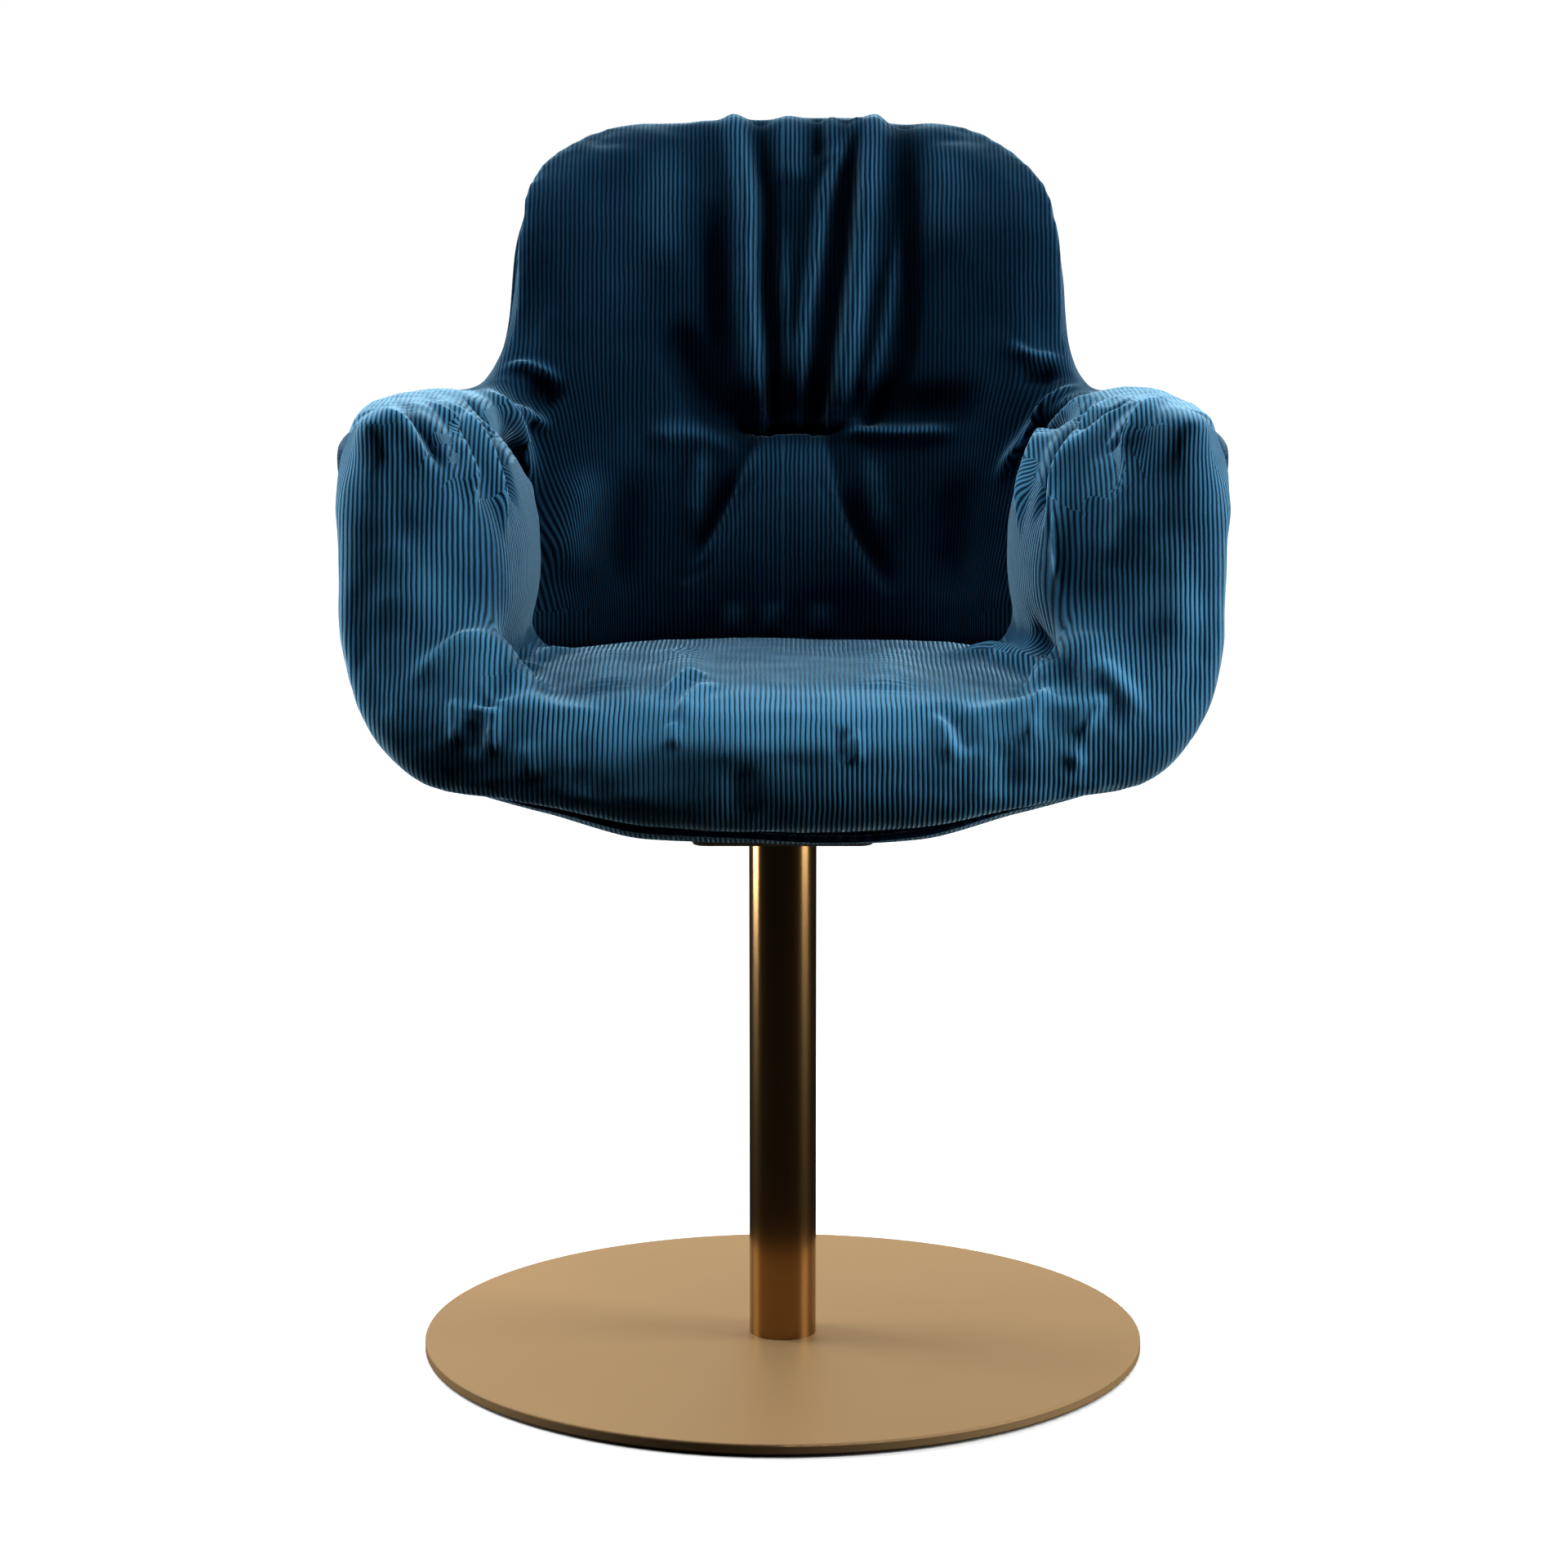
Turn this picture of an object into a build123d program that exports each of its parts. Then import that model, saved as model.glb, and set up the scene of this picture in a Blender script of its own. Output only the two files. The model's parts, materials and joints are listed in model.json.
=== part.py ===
"""Pedestal armchair: an upholstered bucket shell that swivels on a round column and a flat disc base.

Units are millimetres. +Z is up, the chair faces -Y, and the origin is on the floor, on the column's axis.
The fixed base carries a bearing cartridge in the top of its column. The seat hangs on a spindle in that cartridge.
"""

import os
from math import acos, cos, degrees, exp, pi, radians, sin

from build123d import *

# Base plate, floor liner and column
PLATE_DIAMETER = 520.0
PLATE_THICKNESS = 8.0
PLATE_EDGE_RADIUS = 1.5
LINER_THICKNESS = 1.5
LINER_MARGIN = 6.0
COLUMN_DIAMETER = 48.3
COLUMN_WALL = 2.6
FOOT_LENGTH = 22.0
BASE_BOLT_DIAMETER = 12.0
BASE_BOLT_HEAD_DIAMETER = 24.0
BASE_BOLT_LENGTH = 26.0
BASE_BOLT_SOCKET = 8.0
BASE_BOLT_SOCKET_DEPTH = 4.0

# Swivel: cartridge in the column, two bushes, spindle and what holds the spindle in
MOUNT_BOTTOM_Z = 380.5
SWIVEL_GAP = 1.0
HUB_DIAMETER = 40.0
HUB_HEIGHT = 4.0
SPINDLE_DIAMETER = 25.0
THRUST_WASHER_DIAMETER = 39.0
THRUST_WASHER_THICKNESS = 1.5
BUSH_WALL = 3.5
BUSH_LENGTH = 22.0
BUSH_FLANGE_DIAMETER = 40.0
BUSH_FLANGE_THICKNESS = 2.0
CARTRIDGE_LENGTH = 140.0
SPINDLE_WASHER_DIAMETER = 38.0
SPINDLE_WASHER_THICKNESS = 2.0
RING_DIAMETER = 32.0
RING_THICKNESS = 1.6
RING_GROOVE_DEPTH = 1.2
RING_GAP_ANGLE = 40.0
SPINDLE_TAIL = 5.0
SPINDLE_TAIL_CHAMFER = 1.5

# Seat mount under the shell, with its screws and tee nuts
MOUNT_HEIGHT = 28.0
MOUNT_BOTTOM_WIDTH = 126.0
MOUNT_FLARE = 12.0
MOUNT_WALL = 4.0
MOUNT_FLOOR = 5.0
MOUNT_FLANGE_WIDTH = 180.0
MOUNT_FLANGE_THICKNESS = 4.0
MOUNT_CORNER_RADIUS = 10.0
SCREW_SPACING = 154.0
SCREW_DIAMETER = 8.0
SCREW_HEAD_DIAMETER = 14.0
SCREW_HEAD_HEIGHT = 4.5
SCREW_SOCKET = 5.0
SCREW_SOCKET_DEPTH = 2.6
TEE_NUT_DIAMETER = 22.0
TEE_NUT_FLANGE = 1.5
TEE_NUT_BARREL = 10.0

# Bucket: the outside of the upholstered shell
BUCKET_HALF_WIDTH = 300.0
BUCKET_FRONT_Y = -300.0
BUCKET_WIDEST_Y = -110.0
BUCKET_BACK_LOW_Y = 205.0
BUCKET_BACK_TOP_Y = 300.0
BUCKET_TOP_Z = 880.0
BACK_LOW_Z = 460.0
FLOOR_HALF_WIDTH = 118.0
FLOOR_FRONT_Y = -130.0
FLOOR_BACK_Y = 120.0
BOWL_HEIGHT = 122.0
BOWL_ROUNDNESS_SIDE = 1.85
BOWL_ROUNDNESS_FRONT = 2.9
BOWL_ROUNDNESS_BACK = 2.3
FRONT_SQUARENESS = 2.6
BACK_SQUARENESS_LOW = 2.4
BACK_SQUARENESS_TOP = 3.0
COVER_THICKNESS = 3.7
CORE_THICKNESS = 10.0
FOAM_THICKNESS = 12.0
LAYER_GAP = 0.3

# Rim of the shell, as seen from the side and from the front
LIP_Z = 420.0
LIP_FRONT_Y = -246.0
LIP_RUN = 14.0
LIP_RISE = 28.0
ARM_FRONT_LOW_Y = -176.0
ARM_FRONT_LOW_Z = 505.0
ARM_FRONT_TOP_Y = -152.0
ARM_TOP_REAR_Z = 672.0
ARM_TOP_FALL = 12.0
ARM_REAR_Y = 122.0
BACK_EDGE_TOP_Y = 205.0
LIP_CORNER_RADIUS = 60.0
ARM_CORNER_RADIUS = 60.0
ARM_REAR_RADIUS = 30.0
BACK_WIDTH_SHARE_LOW = 0.705
BACK_WIDTH_SHARE_TOP = 0.666
BACK_TOP_DROP = 24.0
BACK_TOP_CROWN = 12.0
BACK_CORNER_RADIUS = 78.0
BACK_CORNER_SHARE = 0.8
SHOULDER_RADIUS = 40.0
FOAM_RIM_SETBACK = 6.0

# Pads: the soft quilt inside the shell, in four filled chambers, and the tape that sews the back one down
SEAT_CREST_Z = 517.0
SEAT_EDGE_Z = 472.0
SEAT_NOSE_OUT = 46.0
SEAT_NOSE_HEIGHT = 20.0
SEAT_CROWN_INSET = 170.0
ARM_PAD_THICKNESS = 54.0
ARM_PAD_BOTTOM_Z = 501.0
ARM_PAD_PROUD = 25.0
ARM_PAD_FRONT_ANGLE = -20.0
ARM_PAD_REAR_ANGLE = 37.5
BACK_PAD_THICKNESS = 50.0
BACK_PAD_BOTTOM_Z = 497.0
BACK_PAD_PROUD = 26.0
BACK_PAD_OVERHANG = 2.0
BACK_PAD_CORNER_RADIUS = 84.0
BACK_PAD_LOW_CORNER = 26.0
PAD_ROLL_INSET = 3.0
PAD_ROLL_HEIGHT = 11.0
PAD_ROLL_ROUND = 12.0
TUFT_Z = 651.0
TUFT_HALF_WIDTH = 46.0
TUFT_HALF_HEIGHT = 38.0
TUFT_DEPTH = 0.55
TAPE_HEIGHT = 12.0

# Fits and clearances
RUNNING_CLEARANCE = 0.05
PRESS_CLEARANCE = 0.02
BOLT_CLEARANCE = 0.4
SOFT_CLEARANCE = 1.7
SEAT_SIDE_CLEARANCE = 10.0
SEAT_LIP_CLEARANCE = 3.0
ARM_SIDE_CLEARANCE = 1.7
BACK_SIDE_CLEARANCE = 0.8
RIM_CLEARANCE = 3.0
FAR = 700.0

# Heights and radii that follow from the sizes above
PLATE_BOTTOM_Z = LINER_THICKNESS
PLATE_TOP_Z = PLATE_BOTTOM_Z + PLATE_THICKNESS
COLUMN_TOP_Z = MOUNT_BOTTOM_Z - SWIVEL_GAP
COLUMN_BORE = COLUMN_DIAMETER / 2 - COLUMN_WALL
HUB_BOTTOM_Z = MOUNT_BOTTOM_Z - HUB_HEIGHT
UPPER_FLANGE_TOP_Z = HUB_BOTTOM_Z - THRUST_WASHER_THICKNESS
CARTRIDGE_TOP_Z = UPPER_FLANGE_TOP_Z - BUSH_FLANGE_THICKNESS
CARTRIDGE_BOTTOM_Z = CARTRIDGE_TOP_Z - CARTRIDGE_LENGTH
LOWER_FLANGE_BOTTOM_Z = CARTRIDGE_BOTTOM_Z - BUSH_FLANGE_THICKNESS
RING_TOP_Z = LOWER_FLANGE_BOTTOM_Z - SPINDLE_WASHER_THICKNESS
SPINDLE_BOTTOM_Z = RING_TOP_Z - RING_THICKNESS - SPINDLE_TAIL
BUSH_BORE = SPINDLE_DIAMETER / 2 + RUNNING_CLEARANCE
BUSH_RADIUS = SPINDLE_DIAMETER / 2 + BUSH_WALL
MOUNT_TOP_Z = MOUNT_BOTTOM_Z + MOUNT_HEIGHT
FLANGE_BOTTOM_Z = MOUNT_TOP_Z - MOUNT_FLANGE_THICKNESS
BUCKET_BOTTOM_Z = MOUNT_TOP_Z - COVER_THICKNESS - LAYER_GAP
CORE_OUT = COVER_THICKNESS + LAYER_GAP
CORE_IN = CORE_OUT + CORE_THICKNESS
FOAM_OUT = CORE_IN + LAYER_GAP
FOAM_IN = FOAM_OUT + FOAM_THICKNESS
PAD_OUT = FOAM_IN + SOFT_CLEARANCE
CORE_FLOOR_Z = BUCKET_BOTTOM_Z + CORE_IN
ARM_TOP_FRONT_Z = ARM_TOP_REAR_Z - ARM_TOP_FALL
ARM_PAD_TOP_Z = ARM_TOP_REAR_Z + ARM_PAD_PROUD
BACK_TOP_Z = BUCKET_TOP_Z - BACK_TOP_DROP
BACK_PAD_TOP_Z = BACK_TOP_Z + BACK_PAD_PROUD
BACK_HALF_WIDTH_LOW = BUCKET_HALF_WIDTH * BACK_WIDTH_SHARE_LOW
BACK_HALF_WIDTH_TOP = BUCKET_HALF_WIDTH * BACK_WIDTH_SHARE_TOP
BACK_PAD_HALF_WIDTH_LOW = BACK_HALF_WIDTH_LOW + BACK_PAD_OVERHANG
BACK_PAD_HALF_WIDTH_TOP = BACK_HALF_WIDTH_TOP + BACK_PAD_OVERHANG
LIP_NORMAL_RISE = LIP_RISE / (LIP_RISE**2 + LIP_RUN**2) ** 0.5
SEAT_NOSE_Z = LIP_Z + FOAM_IN * LIP_NORMAL_RISE + SEAT_LIP_CLEARANCE


def disc(radius, bottom, top):
    """A solid cylinder on the column's axis between two heights."""
    return Pos(0, 0, bottom) * Cylinder(radius, top - bottom, align=(Align.CENTER, Align.CENTER, Align.MIN))


def ring(outer, inner, bottom, top):
    """A plain ring on the column's axis."""
    return disc(outer, bottom, top) - disc(inner, bottom, top)


def frustum(radius_low, radius_high, bottom, top):
    """A cone's slice on the column's axis."""
    height = top - bottom
    return Pos(0, 0, bottom) * Cone(radius_low, radius_high, height, align=(Align.CENTER, Align.CENTER, Align.MIN))


# Base


def base_bolt_head_height():
    """A 90 degree countersunk head is as deep as the head stands proud of the shank on each side."""
    return (BASE_BOLT_HEAD_DIAMETER - BASE_BOLT_DIAMETER) / 2


def make_base_plate():
    plate = disc(PLATE_DIAMETER / 2, PLATE_BOTTOM_Z, PLATE_TOP_Z)
    rims = plate.edges().filter_by(GeomType.CIRCLE)
    plate = fillet(rims, PLATE_EDGE_RADIUS)
    sink_top = PLATE_BOTTOM_Z + base_bolt_head_height()
    hole = disc(BASE_BOLT_DIAMETER / 2 + BOLT_CLEARANCE, PLATE_BOTTOM_Z, PLATE_TOP_Z)
    sink = frustum(
        BASE_BOLT_HEAD_DIAMETER / 2 + BOLT_CLEARANCE,
        BASE_BOLT_DIAMETER / 2 + BOLT_CLEARANCE,
        PLATE_BOTTOM_Z,
        sink_top,
    )
    return plate - hole - sink


def make_floor_liner():
    """Felt disc glued under the plate. It is what meets the floor."""
    return disc(PLATE_DIAMETER / 2 - LINER_MARGIN, 0, LINER_THICKNESS)


def make_column_tube():
    return ring(COLUMN_DIAMETER / 2, COLUMN_BORE, PLATE_TOP_Z, COLUMN_TOP_Z)


def make_column_foot():
    """Turned plug welded into the tube's lower end, tapped for the base bolt."""
    plug = disc(COLUMN_BORE - PRESS_CLEARANCE, PLATE_TOP_Z, PLATE_TOP_Z + FOOT_LENGTH)
    plug = chamfer(plug.edges().group_by(Axis.Z)[-1], COLUMN_WALL)
    return plug - disc(BASE_BOLT_DIAMETER / 2 + PRESS_CLEARANCE, PLATE_TOP_Z, PLATE_TOP_Z + FOOT_LENGTH)


def make_base_bolt():
    head_top = PLATE_BOTTOM_Z + base_bolt_head_height()
    bolt = frustum(BASE_BOLT_HEAD_DIAMETER / 2, BASE_BOLT_DIAMETER / 2, PLATE_BOTTOM_Z, head_top)
    bolt += disc(BASE_BOLT_DIAMETER / 2, head_top, PLATE_BOTTOM_Z + BASE_BOLT_LENGTH)
    socket = extrude(RegularPolygon(BASE_BOLT_SOCKET / 2, 6, major_radius=False), BASE_BOLT_SOCKET_DEPTH)
    return bolt - Pos(0, 0, PLATE_BOTTOM_Z) * socket


def make_swivel_cartridge():
    """Thick sleeve pressed into the column's top. Both bushes sit in its ends."""
    sleeve = ring(
        COLUMN_BORE - PRESS_CLEARANCE, BUSH_RADIUS + PRESS_CLEARANCE, CARTRIDGE_BOTTOM_Z, CARTRIDGE_TOP_Z
    )
    waist_half = CARTRIDGE_LENGTH / 2 - BUSH_LENGTH - BUSH_WALL
    middle = (CARTRIDGE_BOTTOM_Z + CARTRIDGE_TOP_Z) / 2
    waist = ring(COLUMN_BORE, BUSH_RADIUS + BUSH_WALL, middle - waist_half, middle + waist_half)
    return sleeve - waist


def make_bush(flange_bottom, sleeve_bottom):
    """Flanged plain bearing: a flange on the cartridge's end and a sleeve inside it."""
    flange = disc(BUSH_FLANGE_DIAMETER / 2, flange_bottom, flange_bottom + BUSH_FLANGE_THICKNESS)
    sleeve = disc(BUSH_RADIUS, sleeve_bottom, sleeve_bottom + BUSH_LENGTH)
    bore = disc(BUSH_BORE, flange_bottom - BUSH_LENGTH, flange_bottom + 2 * BUSH_LENGTH)
    return flange + sleeve - bore


# Swivelling hardware


def make_spindle():
    """Turned shaft with a hub that is welded to the seat mount and a groove for its retaining ring."""
    shaft = disc(SPINDLE_DIAMETER / 2, SPINDLE_BOTTOM_Z, MOUNT_BOTTOM_Z)
    shaft = chamfer(shaft.edges().group_by(Axis.Z)[0], SPINDLE_TAIL_CHAMFER)
    groove = ring(
        SPINDLE_DIAMETER / 2, SPINDLE_DIAMETER / 2 - RING_GROOVE_DEPTH, RING_TOP_Z - RING_THICKNESS, RING_TOP_Z
    )
    return shaft - groove + disc(HUB_DIAMETER / 2, HUB_BOTTOM_Z, MOUNT_BOTTOM_Z)


def make_thrust_washer():
    return ring(THRUST_WASHER_DIAMETER / 2, BUSH_BORE, UPPER_FLANGE_TOP_Z, HUB_BOTTOM_Z)


def make_spindle_washer():
    return ring(SPINDLE_WASHER_DIAMETER / 2, BUSH_BORE, RING_TOP_Z, LOWER_FLANGE_BOTTOM_Z)


def make_retaining_ring():
    """Snap ring in the spindle's groove, open on one side so that it can be sprung over the end."""
    bottom = RING_TOP_Z - RING_THICKNESS
    inner = SPINDLE_DIAMETER / 2 - RING_GROOVE_DEPTH + PRESS_CLEARANCE
    whole = ring(RING_DIAMETER / 2, inner, bottom + PRESS_CLEARANCE, RING_TOP_Z)
    gap_width = RING_DIAMETER * sin(radians(RING_GAP_ANGLE / 2))
    gap = Pos(0, -RING_DIAMETER / 2, (bottom + RING_TOP_Z) / 2) * Box(gap_width, RING_DIAMETER / 2, RING_DIAMETER)
    return whole - gap


# Seat mount


def mount_section(width, z):
    """Rounded square across the mount at one height."""
    return Pos(0, 0, z) * RectangleRounded(width, width, MOUNT_CORNER_RADIUS)


def screw_places():
    half = SCREW_SPACING / 2
    return [(x, y) for x in (-half, half) for y in (-half, half)]


def make_seat_mount():
    """Black pressed-steel pan: a flat floor, sides that flare outwards, and a flange that is screwed to the shell."""
    flare_height = MOUNT_HEIGHT - MOUNT_FLANGE_THICKNESS
    top_width = MOUNT_BOTTOM_WIDTH + 2 * MOUNT_FLARE
    outside = loft([mount_section(MOUNT_BOTTOM_WIDTH, MOUNT_BOTTOM_Z), mount_section(top_width, FLANGE_BOTTOM_Z)])
    slope = MOUNT_FLARE / flare_height
    floor_z = MOUNT_BOTTOM_Z + MOUNT_FLOOR
    inner_low = MOUNT_BOTTOM_WIDTH + 2 * (slope * MOUNT_FLOOR - MOUNT_WALL)
    inner_high = inner_low + 2 * slope * (MOUNT_TOP_Z - floor_z)
    pocket = loft([mount_section(inner_low, floor_z), mount_section(inner_high, MOUNT_TOP_Z)])
    flange = extrude(mount_section(MOUNT_FLANGE_WIDTH, FLANGE_BOTTOM_Z), MOUNT_FLANGE_THICKNESS)
    mount = outside + flange - pocket
    for x, y in screw_places():
        mount -= Pos(x, y, 0) * disc(SCREW_DIAMETER / 2 + BOLT_CLEARANCE, FLANGE_BOTTOM_Z, MOUNT_TOP_Z)
    return mount


def make_mount_screw():
    """Button-head socket screw, head down, on the column's axis."""
    head_bottom = FLANGE_BOTTOM_Z - SCREW_HEAD_HEIGHT
    head = disc(SCREW_HEAD_DIAMETER / 2, head_bottom, FLANGE_BOTTOM_Z)
    head = fillet(head.edges().group_by(Axis.Z)[0], SCREW_HEAD_HEIGHT * 0.6)
    socket = extrude(RegularPolygon(SCREW_SOCKET / 2, 6, major_radius=False), SCREW_SOCKET_DEPTH)
    shank = disc(SCREW_DIAMETER / 2, FLANGE_BOTTOM_Z, CORE_FLOOR_Z - TEE_NUT_FLANGE)
    return head - Pos(0, 0, head_bottom) * socket + shank


def make_tee_nut():
    """Tee nut let into the shell's floor from inside."""
    flange = disc(TEE_NUT_DIAMETER / 2, CORE_FLOOR_Z - TEE_NUT_FLANGE, CORE_FLOOR_Z)
    barrel = disc(TEE_NUT_BARREL / 2, MOUNT_TOP_Z, CORE_FLOOR_Z - TEE_NUT_FLANGE)
    return flange + barrel - disc(SCREW_DIAMETER / 2 + PRESS_CLEARANCE, MOUNT_TOP_Z, CORE_FLOOR_Z)


def at_screws(shape):
    """Four separate copies of a fastener at the mount's screw places."""
    return Compound(children=[Pos(x, y, 0) * shape for x, y in screw_places()])


# Bucket


def share(value, low, high):
    """How far value lies from low to high, held between 0 and 1."""
    return min(1.0, max(0.0, (value - low) / (high - low)))


def bowl_growth(z, inset, roundness):
    """0 at the bucket's floor, 1 where the bowl has reached its full width: a quarter of a superellipse."""
    rise = share(z, BUCKET_BOTTOM_Z + inset, BUCKET_BOTTOM_Z + inset + BOWL_HEIGHT)
    return (1 - (1 - rise) ** roundness) ** (1 / roundness)


def back_y(z):
    """Where the reclined back lies at a height."""
    slope = (BUCKET_BACK_TOP_Y - BUCKET_BACK_LOW_Y) / (BUCKET_TOP_Z - BACK_LOW_Z)
    return BUCKET_BACK_LOW_Y + slope * (z - BACK_LOW_Z)


def plan_point(angle, z, inset):
    """A point of the bucket's outline at a height, inset from its outside. Angle 0 is the right arm, 90 the back."""
    side_growth = bowl_growth(z, inset, BOWL_ROUNDNESS_SIDE)
    front_growth = bowl_growth(z, inset, BOWL_ROUNDNESS_FRONT)
    back_growth = bowl_growth(z, inset, BOWL_ROUNDNESS_BACK)
    width = FLOOR_HALF_WIDTH + (BUCKET_HALF_WIDTH - inset - FLOOR_HALF_WIDTH) * side_growth
    front = FLOOR_FRONT_Y + (BUCKET_FRONT_Y + inset - FLOOR_FRONT_Y) * front_growth
    back = FLOOR_BACK_Y + (back_y(z) - inset - FLOOR_BACK_Y) * back_growth
    middle = BUCKET_WIDEST_Y * side_growth
    c, s = cos(radians(angle)), sin(radians(angle))
    if s >= 0:
        rise = share(z, BACK_LOW_Z, BUCKET_TOP_Z)
        power = BACK_SQUARENESS_LOW + (BACK_SQUARENESS_TOP - BACK_SQUARENESS_LOW) * rise
        reach = back - middle
    else:
        power = FRONT_SQUARENESS
        reach = middle - front
    x = width * abs(c) ** (2 / power)
    y = reach * abs(s) ** (2 / power)
    return (x if c >= 0 else -x, middle + (y if s >= 0 else -y), z)


BUCKET_RISES = (0.0, 0.05, 0.15, 0.30, 0.50, 0.75, 1.0)
BUCKET_WALL_RISES = (0.30, 0.42, 0.56, 0.70, 0.84, 0.98, 1.12)
BUCKET_POINTS = 12
SEAT_POINTS = 16


def bucket(inset):
    """The bucket's solid body at an inset from its outside, from its floor to above the back's top."""
    floor = BUCKET_BOTTOM_Z + inset
    levels = [floor + BOWL_HEIGHT * rise for rise in BUCKET_RISES]
    levels += [BACK_LOW_Z + (BUCKET_TOP_Z - BACK_LOW_Z) * rise for rise in BUCKET_WALL_RISES]
    step = 360 / BUCKET_POINTS
    sections = []
    for z in levels:
        points = [plan_point(-90 + step * k, z, inset) for k in range(BUCKET_POINTS)]
        sections.append(make_face(Spline(points, periodic=True)))
    return loft(sections)


def side_rim(setback=0.0):
    """What the rim leaves standing, seen from the side: lip, arm front, arm top and back edge."""
    lip_out = (LIP_FRONT_Y - LIP_RUN + setback, LIP_Z - LIP_RISE - setback)
    lip_in = (LIP_FRONT_Y + LIP_RUN + setback, LIP_Z + LIP_RISE - setback)
    points = [
        (lip_out[0], BUCKET_BOTTOM_Z - FAR),
        lip_out,
        lip_in,
        (ARM_FRONT_LOW_Y + setback, ARM_FRONT_LOW_Z - setback),
        (ARM_FRONT_TOP_Y + setback, ARM_TOP_FRONT_Z - setback),
        (ARM_REAR_Y + setback, ARM_TOP_REAR_Z - setback),
        (BACK_EDGE_TOP_Y + setback, BUCKET_TOP_Z + FAR / 4),
        (FAR, BUCKET_TOP_Z + FAR / 4),
        (FAR, BUCKET_BOTTOM_Z - FAR),
    ]
    face = make_face(Polyline(points, close=True))
    by_place = {3: LIP_CORNER_RADIUS, 4: ARM_CORNER_RADIUS, 5: ARM_REAR_RADIUS}
    for place, radius in by_place.items():
        corner = min(face.vertices(), key=lambda v: (Vector(v) - Vector(*points[place])).length)
        face = fillet(corner, radius)
    return extrude(Plane.YZ * face, FAR, both=True)


def front_rim(setback=0.0):
    """What the rim leaves standing, seen from the front: both arms and the narrower, round-cornered back."""
    top = BACK_TOP_Z - setback
    low = BACK_HALF_WIDTH_LOW - setback
    high = BACK_HALF_WIDTH_TOP - setback
    shoulder = ARM_TOP_REAR_Z - setback
    right = [(FAR, BUCKET_BOTTOM_Z - FAR), (FAR, shoulder), (low, shoulder), (high, top - BACK_TOP_CROWN)]
    left = [(-x, z) for x, z in reversed(right)]
    crown = ThreePointArc(right[-1], (0, top), left[0])
    face = make_face(Curve() + [Polyline(right), crown, Polyline(left), Line(left[-1], right[0])])
    straight = top - BACK_TOP_CROWN - shoulder - SHOULDER_RADIUS
    corner_radius = min(BACK_CORNER_RADIUS, BACK_CORNER_SHARE * straight)
    for points, radius in ((right[2:3] + left[1:2], SHOULDER_RADIUS), (right[3:] + left[:1], corner_radius)):
        for point in points:
            corner = min(face.vertices(), key=lambda v: (Vector(v) - Vector(*point)).length)
            face = fillet(corner, radius)
    return extrude(Plane.XZ * face, FAR, both=True)


def wall(outer_inset, inner_inset, setback=0.0):
    """One layer of the shell between two insets, trimmed to the rim."""
    kept = side_rim(setback) & front_rim(setback)
    return (bucket(outer_inset) & kept) - bucket(inner_inset)


def make_outer_cover():
    """Corduroy outer cover on its thin backing, open under the seat where the mount meets the shell."""
    opening = Pos(0, 0, MOUNT_TOP_Z) * Box(
        MOUNT_FLANGE_WIDTH + 2 * BOLT_CLEARANCE, MOUNT_FLANGE_WIDTH + 2 * BOLT_CLEARANCE, BOWL_HEIGHT / 2
    )
    return wall(0, COVER_THICKNESS) - opening


def make_shell_core():
    """Moulded shell that carries the chair, drilled and counterbored for its tee nuts."""
    core = wall(CORE_OUT, CORE_IN)
    barrel = disc(TEE_NUT_BARREL / 2 + PRESS_CLEARANCE, MOUNT_TOP_Z - CORE_THICKNESS, CORE_FLOOR_Z)
    seat = disc(TEE_NUT_DIAMETER / 2 + PRESS_CLEARANCE, CORE_FLOOR_Z - TEE_NUT_FLANGE, CORE_FLOOR_Z + CORE_THICKNESS)
    for x, y in screw_places():
        core -= Pos(x, y, 0) * (barrel + seat)
    return core


def tape_box(clearance):
    """Room of the tape that ties the back pad's tuft to the shell, through the foam lining."""
    width = 2 * (TUFT_HALF_WIDTH + clearance)
    depth = FOAM_THICKNESS - LAYER_GAP
    y = back_y(TUFT_Z) - FOAM_OUT - depth
    return Pos(0, y, TUFT_Z) * Box(
        width, depth, TAPE_HEIGHT + 2 * clearance, align=(Align.CENTER, Align.MIN, Align.CENTER)
    )


def make_shell_foam():
    """Foam lining on the inside of the shell, slotted for the tuft's tape."""
    slot_depth = FOAM_THICKNESS * 2
    slot = tape_box(LAYER_GAP) + Pos(0, -slot_depth / 2, 0) * tape_box(LAYER_GAP)
    slot += Pos(0, slot_depth / 2, 0) * tape_box(LAYER_GAP)
    return wall(FOAM_OUT, FOAM_IN, FOAM_RIM_SETBACK) - slot


def make_tuft_tape():
    """Webbing stitched to the back pad's tuft and stapled to the shell."""
    return tape_box(0) & bucket(FOAM_OUT)


# Pads


def arc_chain(points):
    """Arcs through each three points in turn, end to end."""
    return [ThreePointArc(*points[k : k + 3]) for k in range(0, len(points) - 2, 2)]


def pad_section(angles, z, outer_inset, thickness_at):
    """One level of a wall pad: an arc chain along the lining and one along its crowned face, with round ends."""
    outer = [plan_point(angle, z, outer_inset) for angle in angles]
    inner = [plan_point(angle, z, outer_inset + thickness_at(angle)) for angle in angles]
    edges = arc_chain(outer) + arc_chain(list(reversed(inner)))
    for end, other, beside in ((outer[-1], inner[-1], outer[-2]), (inner[0], outer[0], outer[1])):
        middle = (Vector(*end) + Vector(*other)) / 2
        outward = (middle - Vector(*beside)).normalized()
        nose = middle + outward * ((Vector(*end) - Vector(*other)).length * 0.4)
        edges.append(ThreePointArc(end, nose, other))
    return make_face(Curve() + edges)


def crown(place, power):
    """1 in the middle of a pad, falling to 0 at its edges, as place goes from 0 to 1."""
    return (1 - abs(2 * place - 1) ** power) ** (1 / power)


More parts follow.
